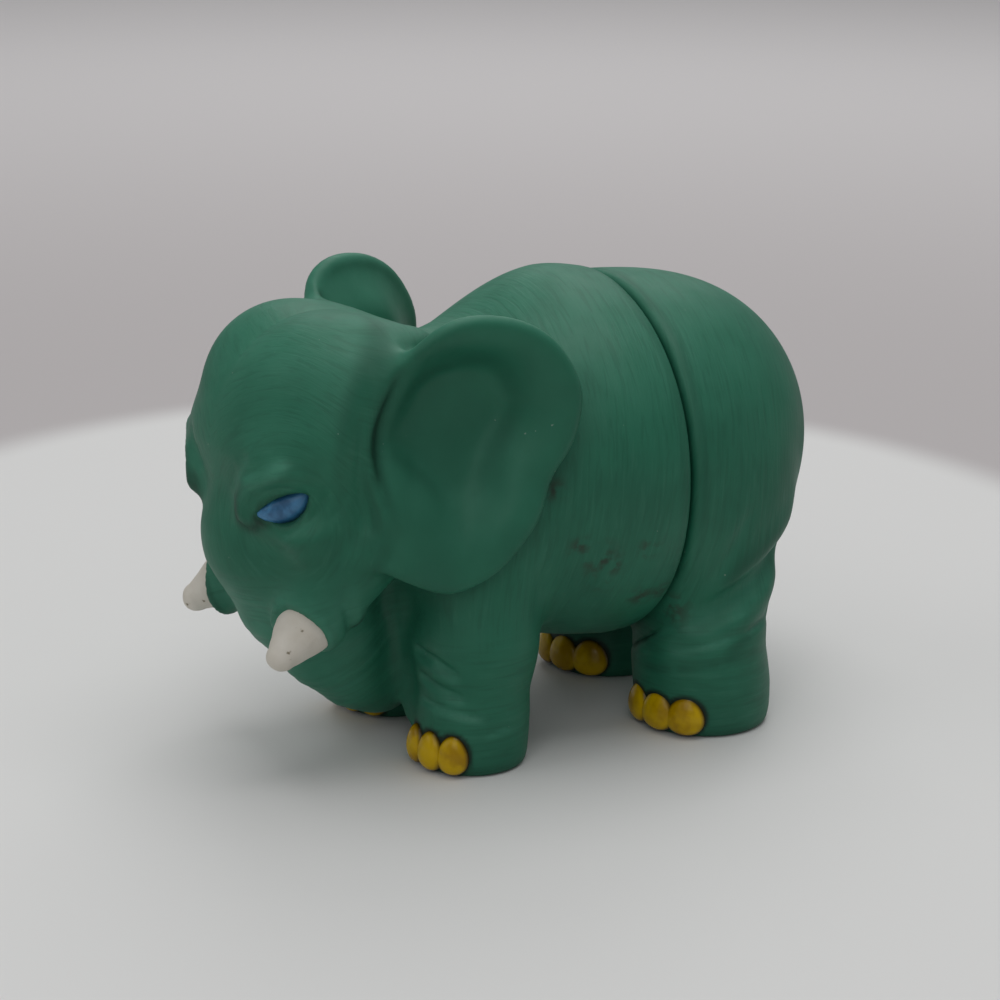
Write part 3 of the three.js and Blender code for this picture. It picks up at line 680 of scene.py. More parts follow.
def nail_places(foot, side):
    """the middle of each toenail of a foot, and the way it looks"""
    forward, across = leg_stations(((0, 0, 1, 1),), foot, side)[0][0][:2]
    if side < 0:
        shift = nail_middle_height / barrel_height
        forward, across = forward + shift * right_feet_back, across - shift * right_feet_in
    places = []
    for number in (-1, 0, 1):
        turn = nail_turn + side * number * nail_step
        reach = foot["radius"] + nail_stand
        place = forward + reach * math.cos(turn), across + reach * math.sin(turn), nail_middle_height
        places.append((place, turn))
    return places


def round_nails(points, foot):
    """a dark line past the toenails' edges: paint that has crept there, and painted shade in the crevice
    round them
    """
    dark_line = np.zeros(len(points))
    for side in (1, -1):
        for middle, turn in nail_places(foot, side):
            away = points - np.array(middle)
            across = -away[:, 0] * math.sin(turn) + away[:, 1] * math.cos(turn)
            along = away[:, 0] * math.cos(turn) + away[:, 1] * math.sin(turn)
            local = np.stack([along, across, away[:, 2]], 1)
            outside = lump(local, (0, 0, 0), nail_size(foot) / 2)
            dark_line = np.maximum(dark_line, 1 - smoothly(outside, *nail_line_reach))
    return dark_line


# Wear, painted light and painted shade: how far round a place they are judged, how pale painted light
# makes tops and wear makes rises, and how dark the painted shade in hollows is
wear_reach = 0.8
painted_top_light = 0.75
rise_paling = 1.6
hollow_shading = 2.2
deepest_shade = 0.85


def keep_vinyl_values(mesh, points, form, limb_share, head_share, head_strokes, limb_strokes, calm,
                      paint_and_shade_line, grime, painted_highlights=0.0):
    """works out wear, painted light and shade, dirt and the run of the strokes for a half; calm places have
    fewer strokes
    """
    worn, outward = worn_share(mesh, points, form, wear_reach)
    upward = smoothly(outward[:, 2], -0.1, 0.95)
    not_under = smoothly(outward[:, 2], -0.8, 0.3)
    # tops that look up are paled with painted light, and rises by wear
    wear_and_painted_sheen = painted_top_light * upward + rise_paling * np.maximum(worn, 0) * not_under
    keep_values(mesh, "wear_and_painted_sheen", np.clip(wear_and_painted_sheen + painted_highlights, 0, 1))
    # painted shade in folds and hollows
    keep_values(mesh, "hollow", np.clip(-hollow_shading * worn - 0.05, 0, deepest_shade))
    keep_values(mesh, "paint_and_shade_line", paint_and_shade_line)
    keep_values(mesh, "grime", grime)
    keep_values(mesh, "strokes_barrel", barrel_strokes(points))
    keep_values(mesh, "strokes_head", head_strokes)
    keep_values(mesh, "strokes_limb", limb_strokes)
    keep_values(mesh, "strokes_share", (1 - calm)[:, None] * np.stack([
        (1 - limb_share) * (1 - head_share), (1 - limb_share) * head_share, limb_share], 1))


def drawn_in(mesh, points, axis, side, start, end, by):
    """draws a skin in a little towards one end, where its relief would reach past the toy's size"""
    past = np.clip((side * points[:, axis] - start) / (end - start), 0, None)
    points[:, axis] -= side * by * past ** 2
    mesh.vertices.foreach_set("co", (points / 1000).astype(np.float32).ravel())
    mesh.update()


haunch_dirt = np.array([-12.1, 16.7, 15.6])
haunch_dirt_reach = 2.0

rear_low = (-41.5, -24, -1.5)
rear_high = (-6.5, 24, 56)
rear_points, rear_faces = skin_of(rear_wax, rear_low, rear_high, vinyl_step)
rear_points = smooth_onto(rear_wax, rear_points, vinyl_step)
rear_mesh = vinyl_mesh("rear_vinyl_half", rear_points, rear_faces)
keep_vinyl_values(
    rear_mesh, rear_points, rear_wax,
    limb_share=1 - smoothly(rear_points[:, 2], 11, 19),
    head_share=np.zeros(len(rear_points)),
    head_strokes=leg_strokes(rear_points),
    limb_strokes=leg_strokes(rear_points),
    calm=0.35 * smoothly(-rear_points[:, 0], 20, 30),
    # crept paint and painted shade round the nails
    paint_and_shade_line=round_nails(rear_points, hind_foot),
    grime=np.exp(-(length_of(rear_points - haunch_dirt) / haunch_dirt_reach) ** 2),
)
drawn_in(rear_mesh, rear_points, 0, -1, 34, 39.6, 0.2)
rear_half = add_piece("rear_vinyl_half", rear_mesh, vinyl)
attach(rear_half, "rear_half")
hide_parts("rear_body")


# The front half: chest, head, trunk, ears and forelegs, in one hollow moulding of the same green vinyl.
# Thin dished ears stand off the shoulders, heavy brows hang over slanted eyes, and a fleshy sheath is
# round each tusk. The open rear end takes the other plate.

head_half_width = 14.0
head_middle = np.array([seam_place + 36.2, 0.0, 39.5])
head_softness = 0.28 * head_half_width
brow_softness = 0.18 * head_half_width
neck_softness = 4.5

# Shares of the barrel's radius
waist_form = (((-0.45, 0, 0), 1), ((0.24, 0, 0.01), 0.99))
chest_form = (((0.24, 0, -0.01), 0.98), ((0.79, 0, -0.055), 0.81))
hump_form = ((0.31, 0, 0.165), (0.55, 0.69, 0.867))

# Shares of the head's half width
nape_form = ((-0.57, 0, -0.32), 0.94)
skull_form = ((0, 0, 0), (1, 0.985, 0.885))
dome_form = ((0.215, 0.355, 0.265), (0.66, 0.615, 0.645))
face_form = (((0.185, 0, -0.25), 0.86), ((0.285, 0, -0.82), 0.745))
brow_form = ((0.70, 0.67, -0.19), (0.28, 0.37, 0.22))
cheekbone_form = ((0.54, 0.72, -0.69), (0.29, 0.31, 0.25))
cheek_form = (((0.11, 0.61, -0.82), 0.515), ((0.5, 0.7, -1.4), 0.3))

# The temple's ridge, which runs down from the ear's top along the front of its bowl
temple_form = (((19.7, 11.2, 48.8), 3.0), ((23.4, 9.0, 46.0), 4.4), ((25.7, 9.4, 43.6), 5.0),
               ((26.6, 10.3, 40.0), 5.2), ((26.2, 10.2, 35.5), 4.8))
temple_run_softness = 4.0
temple_softness = 5.0

# The trunk's stations: share of the way down, share of the head's half width forward, and taper
trunk_form = ((0.4, 0.36, 0), (0.61, 0.21, 0.33), (0.8, -0.05, 0.55), (0.93, -0.29, 0.77), (1, -0.45, 1))
trunk_root_radius = 10.0
trunk_tip_radius = 4.5
trunk_tip_height = 7.1
trunk_ring_height = 0.03
trunk_ring_widths = (1.5, 2.37)
trunk_ring_wave = 0.35

# How far forward the trunk's rings begin, and how high up they end
rings_ahead = (17, 24)
rings_up = (20, 26)

# The vinyl that fills the gap between the trunk and the left foreleg: place and radius, top and bottom
web_form = (((17.4, 5.4, 19.0), 2.7), ((16.0, 6.6, 5.0), 1.9))
web_softness = 2.2

fore_foot = {"forward": 24.0, "out": 12.4, "radius": 6.25}
fore_leg_form = ((0.92, -0.4, 0.82, 1.26), (0.45, -0.12, 0.96, 1.12), (0.16, -0.03, 1, 1), (0.06, 0, 1, 1.06))

# The ear's outline, back and up from its middle, in shares of its height; ear_root is how far forward the
# ear grows out of the head, also a share of its height
ear_height = 31.8
ear_half_thickness = 1.1
ear_rim_softness = 3.4
ear_root_softness = 4.5
ear_flap_softness = 0.25
ear_root = 0.235
ear_middle = np.array([seam_place + 27.3, 18.6, 38.9])
left_ear = {"side": 1, "lean": math.radians(13), "setback": 0.0, "inset": 0.0, "dish": 5.0, "swept": 0.0}
right_ear = {"side": -1, "lean": math.radians(22), "setback": 2.4, "inset": 1.4, "dish": 3.2, "swept": 2.0}
ear_outline = (
    (0.006, 0.494), (0.168, 0.463), (0.299, 0.372), (0.384, 0.207), (0.36, 0.03), (0.28, -0.104),
    (0.22, -0.262), (0.073, -0.433), (-0.085, -0.506), (-0.262, -0.445), (-0.44, -0.335), (-0.52, -0.09),
    (-0.45, 0.183), (-0.26, 0.354), (-0.128, 0.463),
)
# The edge of the ear's bowl, that runs inside the rim and on over the temple
bowl_outline = (
    (-0.17, 0.405), (0.0, 0.43), (0.15, 0.395), (0.26, 0.305), (0.33, 0.18), (0.31, 0.04), (0.24, -0.09),
    (0.185, -0.24), (0.06, -0.38), (-0.09, -0.44), (-0.24, -0.39), (-0.34, -0.27), (-0.39, -0.12),
    (-0.40, 0.04), (-0.37, 0.18), (-0.29, 0.315),
)

eye_middle = head_middle + np.array([0.716, 0.678, -0.479]) * head_half_width
eye_depth, eye_length, eye_height = 2.8, 7.0, 3.4
eye_turn = math.radians(54)
eye_slant = math.radians(26)
eye_raise = 0.7
eye_sag = 0.7

# In the eye's own frame: how far behind the eye the face's details end and begin, the hollow round the eye
# with its middle, half sizes and depth, and the lids as a lump
eye_details_from = (-5.5, -3.0)
eye_hollow = ((0.8, 2.2), (5.2, 3.7), 1.9)
lids_form = ((-0.25, -0.2, 0.9), (1.35, 4.7, 3.6))
lids_softness = 2.2
eye_opening_softness = 0.3
eye_opening_depth = 0.6
tusk_root = head_middle + np.array([0.592, 0.728, -1.5]) * head_half_width
tusk_way = np.array([0.78, 0.33, -0.53]) / math.sqrt(0.78 ** 2 + 0.33 ** 2 + 0.53 ** 2)
tusk_radius = 3.4
tusk_tip_radius = 1.8
tusk_length = 4.3

# The sheath round the tusk: how far its lip runs down the inner side of the left and of the right tusk, and
# how much thicker it is there
sheath_lips = (1.5, 3.2)
sheath_swells = (0.05, 0.6)
sheath_lip = -0.1
sheath_wall = 0.3
sheath_root = 5
sheath_rim_softness = 0.5
sheath_join_softness = 1.2
groove_depth = 0.15
groove_half_width = 0.3
bared_margin = 1.4
bared_softness = 0.6

# Creases and ridges round the eye, drawn in the eye's own frame: along it and up it, half width and depth
eye_lines = (
    # the ridge of the socket, round the inner end and over the top
    (((-5.9, -1.2), (-5.6, 0.9), (-4.6, 3.0), (-2.9, 4.4), (0.0, 4.1), (2.3, 4.4), (4.6, 3.9)), 1.05, -0.7),
    # the fine line outside the ridge
    (((-5.6, 3.8), (-4.4, 5.2), (-2.6, 6.4), (-0.6, 7.1)), 0.45, 0.1),
    # the upper lid's edge
    (((-3.2, 1.2), (-1.6, 1.8), (0.6, 2.05), (2.4, 1.8), (3.4, 1.2)), 0.45, -0.14),
    # the lower lid's crease, that runs on past the outer corner, and the folds under it
    (((6.6, 1.2), (5.6, 0.0), (4.1, -1.2), (2.6, -2.1), (0.0, -2.5), (-2.0, -2.3)), 0.42, 0.2),
    (((8.2, -0.9), (6.2, -2.0), (3.9, -3.2)), 0.45, 0.16),
    (((-5.0, -1.9), (-2.2, -4.1), (1.6, -5.4), (5.0, -4.6)), 1.0, 0.2),
    # the sunk inner corner
    (((-5.0, -0.1), (-4.0, -0.4), (-2.8, -1.5)), 0.5, 0.4),
)

front_folds = (
    # between the brows
    (((38.9, 5.6, 37.6), (39.2, 4.7, 35.4), (38.9, 3.9, 33.6)), 0.55, 0.3),
    (((38.2, 8.2, 39.2), (39.0, 6.6, 38.0), (39.4, 5.6, 36.0)), 0.5, 0.2),
    # behind the tusk's sheath
    (((29.0, 14.9, 25.6), (29.6, 14.6, 22.8), (28.4, 12.6, 19.0), (26.4, 9.0, 16.4)), 0.9, 0.7),
    # where the foreleg leaves the chest
    (((6.9, 18.9, 26.4), (6.0, 17.5, 19.9), (5.8, 16.7, 17.0)), 1.5, 0.5),
    # wrinkles across the foreleg's inner bend
    (((18.6, 9.2, 14.2), (18.4, 14.2, 13.6), (16.2, 17.6, 11.7)), 0.75, 1.1),
    (((18.5, 10.4, 11.4), (18.0, 14.7, 10.3), (15.7, 17.8, 9.2)), 0.65, 0.8),
    (((18.6, 10.9, 8.4), (17.4, 16.2, 7.9), (13.4, 18.9, 7.2)), 0.6, 0.4),
    (((14.4, 18.8, 5.0), (11.8, 18.9, 5.8), (9.0, 17.9, 5.3)), 0.4, 0.18),
)

# Dirt on the flank: place and reach
flank_grime = (
    ((2.5, 19.6, 26.4), 1.2), ((-0.2, 19.7, 24.5), 2.2), ((-1.8, 19.8, 23.7), 1.4), ((-5.9, 21.3, 25.6), 1.2),
    ((-9.5, 18.3, 19.0), 1.3), ((-6.9, 18.0, 18.7), 1.6), ((5.6, 18.9, 33.5), 1.1), ((-1.4, 18.6, 21.2), 1.1),
)


def on_head(shares):
    """a place given in shares of the head's half width"""
    return head_middle + np.array(shares) * head_half_width


def head_lump(at, form):
    """an egg-shaped lump, its place and radii given in shares of the head's half width"""
    return lump(at, on_head(form[0]), np.array(form[1]) * head_half_width)


def head_rolls(at, form):
    """rolls whose places and radii are given in shares of the head's half width"""
    return rolls(at, [(on_head(m), r * head_half_width) for m, r in form], 1)


def barrel_rolls(at, form):
    """rolls whose places and radii are given in shares of the barrel's radius"""
    return rolls(at, [(on_barrel(m), r * barrel_radius) for m, r in form], 1)


def trunk_stations():
    """where the trunk's rolls run from and to"""
    stations = []
    for down, forward, taper in trunk_form:
        height = head_middle[2] + down * (trunk_tip_height - head_middle[2])
        radius = trunk_root_radius + taper * (trunk_tip_radius - trunk_root_radius)
        stations.append(((head_middle[0] + forward * head_half_width, 0, height), radius))
    return stations


def down_trunk(at):
    """distance down the trunk's middle line from its root"""
    best, along, before = None, None, 0.0
    stations = trunk_stations()
    for (a, _), (b, _) in zip(stations, stations[1:]):
        start, run = np.array(a), np.array(b) - np.array(a)
        span = float(np.linalg.norm(run))
        share = np.clip((at - start) @ run / span ** 2, 0, 1)
        near = length_of(at - start - share[:, None] * run)
        here = before + share * span
        if best is None:
            best, along = near, here
        else:
            along = np.where(near < best, here, along)
            best = np.minimum(near, best)
        before += span
    return along


def into_eye(at):
    """places in the left eye's own frame: out of the face, along it and up it"""
    turn = Matrix.Rotation(eye_turn, 3, "Z") @ Matrix.Rotation(eye_slant, 3, "X")
    return (at - eye_middle) @ np.array(turn)


def outside_eye_outline(local):
    """distance outside the eye's leaf-shaped outline, as seen from in front of it: the upper lid is the
    straighter one, and the outer corner is blunter than the inner one"""
    half_length = 0.49 * eye_length
    outer_bluntness = 2.4
    inner_bluntness = 1.7
    bluntness = np.where(local[:, 1] > 0, outer_bluntness, inner_bluntness)
    share = np.clip(1 - np.abs(local[:, 1] / half_length) ** bluntness, 0, 1)
    raised = local[:, 2] - eye_raise
    upper_lid, lower_lid = 0.95 * share ** 0.85, 2.3 * share ** 0.9
    above = np.maximum(raised - upper_lid, -raised - lower_lid) * 0.8
    beyond = np.hypot(np.maximum(np.abs(local[:, 1]) - half_length, 0), raised)
    return np.where(np.abs(local[:, 1]) < half_length, above, beyond)


def eye_bulge(local):
    """how far the eye stands out of its middle plane; its corners curve up a little"""
    along = (2 * local[:, 1] / eye_length) ** 2
    sagged = local[:, 2] - eye_sag * along
    return (eye_depth / 2) * np.sqrt(np.clip(1 - along - (2 * sagged / eye_height) ** 2, 0, 1))


def round_the_eye(local):
    """how deep the eye's creases go at each place, less than zero on its ridges"""
    depth = np.zeros(len(local))
    flat = np.stack([local[:, 1], local[:, 2], np.zeros(len(local))], 1).astype(np.float32)
    for course, half_width, deepest in eye_lines:
        course = [(*place, 0.0) for place in course]
        near, to_end = from_course(flat, course)
        depth += deepest * smoothly(to_end, 0, 2.5 * half_width + 0.6) * np.exp(-(near / half_width) ** 2)
    return depth * smoothly(local[:, 0], *eye_details_from)


def head_and_chest_wax(at):
    """everything of the front half but the ears"""
    folded = both_sides(at)
    chest = pressed_together(barrel_softness, barrel_rolls(at, waist_form), barrel_rolls(at, chest_form),
                             barrel_lump(at, hump_form))
    neck = roll(at, on_barrel(chest_form[1][0]), on_head(nape_form[0]), chest_form[1][1] * barrel_radius,
                nape_form[1] * head_half_width)
    head = pressed_together(head_softness, head_lump(at, skull_form), head_lump(folded, dome_form),
                            head_rolls(at, face_form))
    browed = pressed_together(head_softness, chest, neck, head)
    browed = pressed_together(neck_softness, browed, head_lump(folded, brow_form))
    browed = pressed_together(
        brow_softness, browed, head_lump(folded, cheekbone_form), head_rolls(folded, cheek_form))
    # rings round the trunk, that fade towards its root and its back
    down = down_trunk(at) + trunk_ring_wave * np.sin(at[:, 1] * 0.9 + at[:, 0] * 0.5)
    rings = sum(np.sin(down * 2 * math.pi / width) for width in trunk_ring_widths)
    fading = smoothly(at[:, 0], *rings_ahead) * (1 - smoothly(at[:, 2], *rings_up))
    ripple = trunk_ring_height * rings * fading
    trunk = rolls(at, trunk_stations(), limb_softness * trunk_tip_radius) + ripple
    trunked = pressed_together(brow_softness, browed, trunk)
    legged = pressed_together(barrel_softness, browed, *legs_of(at, fore_leg_form, fore_foot))
    # the ridge rises to the ear's top on the left side only, whose ear stands further forward
    temples = np.minimum(rolls(folded, temple_form[2:], temple_run_softness),
                         rolls(at, temple_form, temple_run_softness))
    legged, trunked = [pressed_together(temple_softness, form, temples) for form in (legged, trunked)]
    return pressed_together(web_softness, np.minimum(legged, trunked), rolls(at, web_form, 1))


def face_details(at, wax):
    """sheaths round the tusks, lids round the eyes, and the folds"""
    folded = both_sides(at)
    along = (folded - tusk_root) @ tusk_way
    off_axis = length_of(folded - tusk_root - along[:, None] * tusk_way)
    inward = (tusk_root[1] + along * tusk_way[1] - folded[:, 1]) / np.maximum(off_axis, 1e-6)
    inward = np.maximum(inward, 0)
    lip, swell = [np.where(at[:, 1] < 0, right, left) for left, right in (sheath_lips, sheath_swells)]
    lip_front = sheath_lip + lip * inward
    bared = np.maximum(off_axis - tusk_radius - bared_margin + 0.6 * inward, lip_front - along)
    wax = cut_away(bared_softness, wax, bared.astype(np.float32))
    wall = sheath_wall + swell * inward
    sheath = off_axis - tusk_radius - wall + 0.22 * np.minimum(along, 0)
    sheath = cut_away(sheath_rim_softness, sheath, lip_front - along)
    sheath = np.maximum(sheath, -along - sheath_root)
    wax = pressed_together(sheath_join_softness, wax, sheath.astype(np.float32))
    groove = np.hypot(off_axis - tusk_radius + 0.1, along - lip_front)
    wax = wax + groove_depth * np.exp(-(groove / groove_half_width) ** 2).astype(np.float32)
    local = into_eye(folded)
    (middle_along, middle_up), (half_length, half_height), deepest = eye_hollow
    away = ((local[:, 1] - middle_along) / half_length) ** 2 + ((local[:, 2] - middle_up) / half_height) ** 2
    wax = wax + (deepest * np.exp(-away) * smoothly(local[:, 0], *eye_details_from)).astype(np.float32)
    lids = lump(local.astype(np.float32), *lids_form)
    wax = pressed_together(lids_softness, wax, lids) + round_the_eye(local).astype(np.float32)
    opening = np.maximum(outside_eye_outline(local), eye_bulge(local) - eye_opening_depth - local[:, 0])
    wax = cut_away(eye_opening_softness, wax, opening.astype(np.float32))
    return wax + folds_pressed_in(folded, front_folds)


def smooth_loop(corners, steps):
    """a smooth closed line through corners"""
    corners = np.array(corners, float)
    line = []
    for p, q, r, s in zip(*(np.roll(corners, shift, 0) for shift in (1, 0, -1, -2))):
        for t in np.arange(steps) / steps:
            line.append(0.5 * (2 * q + (r - p) * t + (2 * p - 5 * q + 4 * r - s) * t ** 2
                               + (3 * q - p - 3 * r + s) * t ** 3))
    return np.array(line)


def outside_outline(back, up, line):
    """distance outside a closed flat line"""
    nearest = np.full(back.shape, 1e9)
    inside = np.zeros(back.shape, bool)
    for a, b in zip(line, np.roll(line, -1, 0)):
        run = b - a
        share = np.clip(((back - a[0]) * run[0] + (up - a[1]) * run[1]) / (run @ run), 0, 1)
        nearest = np.minimum(nearest, np.hypot(back - a[0] - share * run[0], up - a[1] - share * run[1]))
        passes = (a[1] <= up) != (b[1] <= up)
        where = a[0] + (up - a[1]) / (run[1] if run[1] else 1e-9) * run[0]
        inside ^= passes & (back < where)
    return np.where(inside, -nearest, nearest)


class EarSheet:
    """the middle sheet of an ear: how far out it lies at each place across it, and its outline"""

    step = 0.25

    def __init__(self, side, lean, setback, inset, dish, swept):
        """lean turns the ear out; setback and inset move it; dish is its bowl's depth, and swept its top's
        lean backwards"""
        self.side = side
        self.across_lean, self.along_lean = math.sin(lean), math.cos(lean)
        self.middle = (ear_middle - (setback, inset, 0)) * (1, side, 1)
        self.back = np.arange(-0.62 * ear_height, 0.5 * ear_height, self.step)
        self.up = np.arange(-0.62 * ear_height, 0.62 * ear_height, self.step)
        back, up = np.meshgrid(self.back, self.up, indexing="ij")
        swung = back + swept * np.clip(2 * up / ear_height, 0, 1) ** 1.5
        self.bowl = outside_outline(swung, up, smooth_loop(bowl_outline, 6) * ear_height)
        lobe = self.lobe(back, up)
        behind, above = back / ear_height, up / ear_height
        # the bowl is shallower low down, and its bank is broader at the back and under its front
        deep = dish * (0.4 + 0.6 * smoothly(above, -0.42, 0.12))
        bank = (5.5 + 4 * smoothly(behind - 0.6 * above, -0.15, 0.3)
                + 8 * smoothly(-above, -0.05, 0.25) * smoothly(-behind, 0, 0.2))
        # in front the sheet dives into the head
        dive = np.maximum(-back - ear_root * ear_height, 0) * 1.15 * (1 - lobe)
        sheet = -deep * smoothly(-self.bowl, -1.0, bank) - dive * smoothly(self.bowl, -2.5, 0.5)
        sheet = sheet - 1.8 * smoothly(-behind, 0.22, 0.38) * (1 - lobe)
        # its free edge is lifted until it stands off the shoulder and the cheek
        outer = self.place(back.ravel(), up.ravel(), sheet.ravel() + ear_half_thickness)
        proud = in_batches(lambda p: head_and_chest_wax(p.astype(np.float32)), outer).reshape(back.shape)
        free = np.maximum(np.clip((behind + ear_root) / ear_root, 0, 1), lobe)
        free = free * smoothly(self.bowl, -5.0, -0.5)
        stood_off = 1.3 + 1.9 * smoothly(behind, -0.25, 0.1)
        sheet = sheet + np.maximum(stood_off - proud, 0) * free
        # and the whole is smoothed
        for _ in range(30):
            sheet[1:-1, 1:-1] = 0.5 * sheet[1:-1, 1:-1] + 0.125 * (
                sheet[:-2, 1:-1] + sheet[2:, 1:-1] + sheet[1:-1, :-2] + sheet[1:-1, 2:])
        self.sheet = sheet
        slope_back, slope_up = np.gradient(self.sheet, self.step)
        self.lean = 1 / np.sqrt(1 + slope_back ** 2 + slope_up ** 2)
        self.outline = outside_outline(swung, up, smooth_loop(ear_outline, 6) * ear_height)

    def lobe(self, back, up):
        """1 on the lower lobe, which lies over the cheek, and 0 higher up"""
        return smoothly(-up / ear_height + 0.9 * (back / ear_height + 0.25), 0.1, 0.45)

    def place(self, back, up, across):
        """from the ear's own frame to the body's"""
        forward = -back * self.along_lean + across * self.across_lean
        out = back * self.across_lean + across * self.along_lean
        return self.middle + np.stack([forward, self.side * out, up], 1)

    def own_frame(self, at):
        """from the body's frame to the ear's own"""
        away = at - self.middle
        out = away[:, 1] * self.side
        back = -away[:, 0] * self.along_lean + out * self.across_lean
        across = away[:, 0] * self.across_lean + out * self.along_lean
        return back, away[:, 2], across

    def looked_up(self, table, back, up):
        """a value kept across the sheet, at any place on it"""
        u = np.clip((back - self.back[0]) / self.step, 0, len(self.back) - 1.001)
        v = np.clip((up - self.up[0]) / self.step, 0, len(self.up) - 1.001)
        i, j = u.astype(int), v.astype(int)
        s, t = u - i, v - j
        return ((table[i, j] * (1 - s) + table[i + 1, j] * s) * (1 - t)
                + (table[i, j + 1] * (1 - s) + table[i + 1, j + 1] * s) * t)

    def flap(self, at):
        """distance outside the ear's flap, and how free of the head it is there"""
        back, up, across = self.own_frame(at)
        outline = self.looked_up(self.outline, back, up)
        off = (across - self.looked_up(self.sheet, back, up)) * self.looked_up(self.lean, back, up)
        inner = np.maximum(outline + ear_half_thickness, 0)
        flap = np.hypot(inner, off) - ear_half_thickness
        return flap, np.maximum(smoothly(back / ear_height, -0.34, -0.12), self.lobe(back, up))

    def hollowed(self, at):
        """distance outside what is scooped out of the head for the front of the ear's bowl"""
        back, up, across = self.own_frame(at)
        floor = self.looked_up(self.sheet, back, up) + ear_half_thickness - 0.8
        above_floor = (floor - across) * self.looked_up(self.lean, back, up)
        return np.maximum(self.looked_up(self.bowl, back, up), above_floor)

    def on_flap(self, at):
        """1 on the ear itself and 0 away from it"""
        back, up, _ = self.own_frame(at)
        return (1 - smoothly(self.flap(at)[0], 0.4, 1.4)) * smoothly(back / ear_height, -0.40, -0.30)


ears = [EarSheet(**left_ear), EarSheet(**right_ear)]


def front_wax(at):
    """how far each place lies outside the front half, with negative values inside it"""
    at = at.astype(np.float32)
    wax = face_details(at, head_and_chest_wax(at))
    for ear in ears:
        flap, free = ear.flap(at)
        wax = cut_away(ear_rim_softness, wax, ear.hollowed(at).astype(np.float32))
        softness = ear_root_softness - (ear_root_softness - ear_flap_softness) * free.astype(np.float32)
        wax = pressed_together(softness, wax, flap.astype(np.float32))
    wax = stood_on_floor(at, wax)
    return cut_at_seam(at, wax, 1)


front_low = (-16, -24, -1.5)
front_high = (42, 24, 57)
front_step = vinyl_step * 1.22
front_points, front_faces = skin_of(front_wax, front_low, front_high, front_step)
front_points = smooth_onto(front_wax, front_points, vinyl_step)
front_mesh = vinyl_mesh("front_vinyl_half", front_points, front_faces)
ahead, out, up = front_points.T
front_folded = both_sides(front_points)
eye_local = into_eye(front_folded)
out_of_face, along_eye, up_eye = eye_local.T

# paint has crept a little past the eye's edge, and painted shade lies thick in its sunk inner corner
eye_line = (1 - smoothly(outside_eye_outline(eye_local), 0.05, 0.35)) * (out_of_face > -2)
from_corner = np.hypot((along_eye + 3.9) / 1.2, (up_eye + 0.6) / 0.7)
eye_corner_shade = np.exp(-from_corner ** 2) * (out_of_face > -3)
grime_here = np.zeros(len(front_points))
for spot, reach in flank_grime:
    grime_here = np.maximum(grime_here, np.exp(-(length_of(front_points - np.array(spot)) / reach) ** 2))

# painted highlight on the top of the brow, and painted light on the trunk and the far ear
brow_top = np.float32([(-4.6, 3.0, 0), (-2.9, 4.2, 0), (0.0, 4.3, 0), (2.3, 4.6, 0)])
on_face = np.stack([along_eye, up_eye, np.zeros(len(front_points))], 1).astype(np.float32)
brow_highlight = np.exp(-(from_course(on_face, brow_top)[0] / 0.8) ** 2) * (out_of_face > -4)
trunk_painted_light = smoothly(ahead, 21, 25) * (1 - smoothly(up, 18, 26))
on_left_ear, on_right_ear = [ear.on_flap(front_points) for ear in ears]

# the strokes run round the eyes on the head, and across the trunk and the legs
before_chest = smoothly(ahead, 17, 20)
on_leg = (1 - smoothly(up, 13, 20)) * (1 - before_chest)
on_trunk = before_chest * (1 - smoothly(up, 21, 27))
from_eye = length_of(front_folded - eye_middle)
keep_vinyl_values(
    front_mesh, front_points, front_wax,
    limb_share=np.maximum(on_leg, on_trunk),
    head_share=smoothly(ahead, 19, 27),
    head_strokes=np.stack([(from_eye + 0.8 * np.sin(ahead * 0.5) + 0.25 * up) / 0.5, out / 3, up / 3], 1),
    limb_strokes=np.where(
        (ahead > 18.5)[:, None],
        np.stack([ahead / 7, out / 5, down_trunk(front_points) / 0.6], 1), leg_strokes(front_points)),
    calm=np.maximum.reduce([0.9 * on_left_ear, 0.9 * on_right_ear, 0.1 * smoothly(ahead, 20, 28)]),
    # crept paint round nails and eyes, and painted shade round the nails and in the eye's inner corner
    paint_and_shade_line=np.maximum.reduce([round_nails(front_points, fore_foot), 0.35 * eye_line, 0.55 * eye_corner_shade]),
    grime=grime_here,
    # painted highlight on the brow, painted light on the trunk and the far ear
    painted_highlights=0.9 * brow_highlight + 0.9 * trunk_painted_light + 0.7 * on_right_ear,
)
for axis, side, start, end, by in ((0, 1, 34, 40, 0.24), (1, 1, 18, 22.3, 0.2), (1, -1, 18, 22.3, 0.2)):
    drawn_in(front_mesh, front_points, axis, side, start, end, by)
front_half = add_piece("front_vinyl_half", front_mesh, vinyl)
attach(front_half, "front_half")
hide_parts("front_body")


# The two closing plates.
# Stiff cream plastic discs, moulded with a round socket behind them, pressed into the halves' open ends.
# Each closes its hollow half and carries the plug.

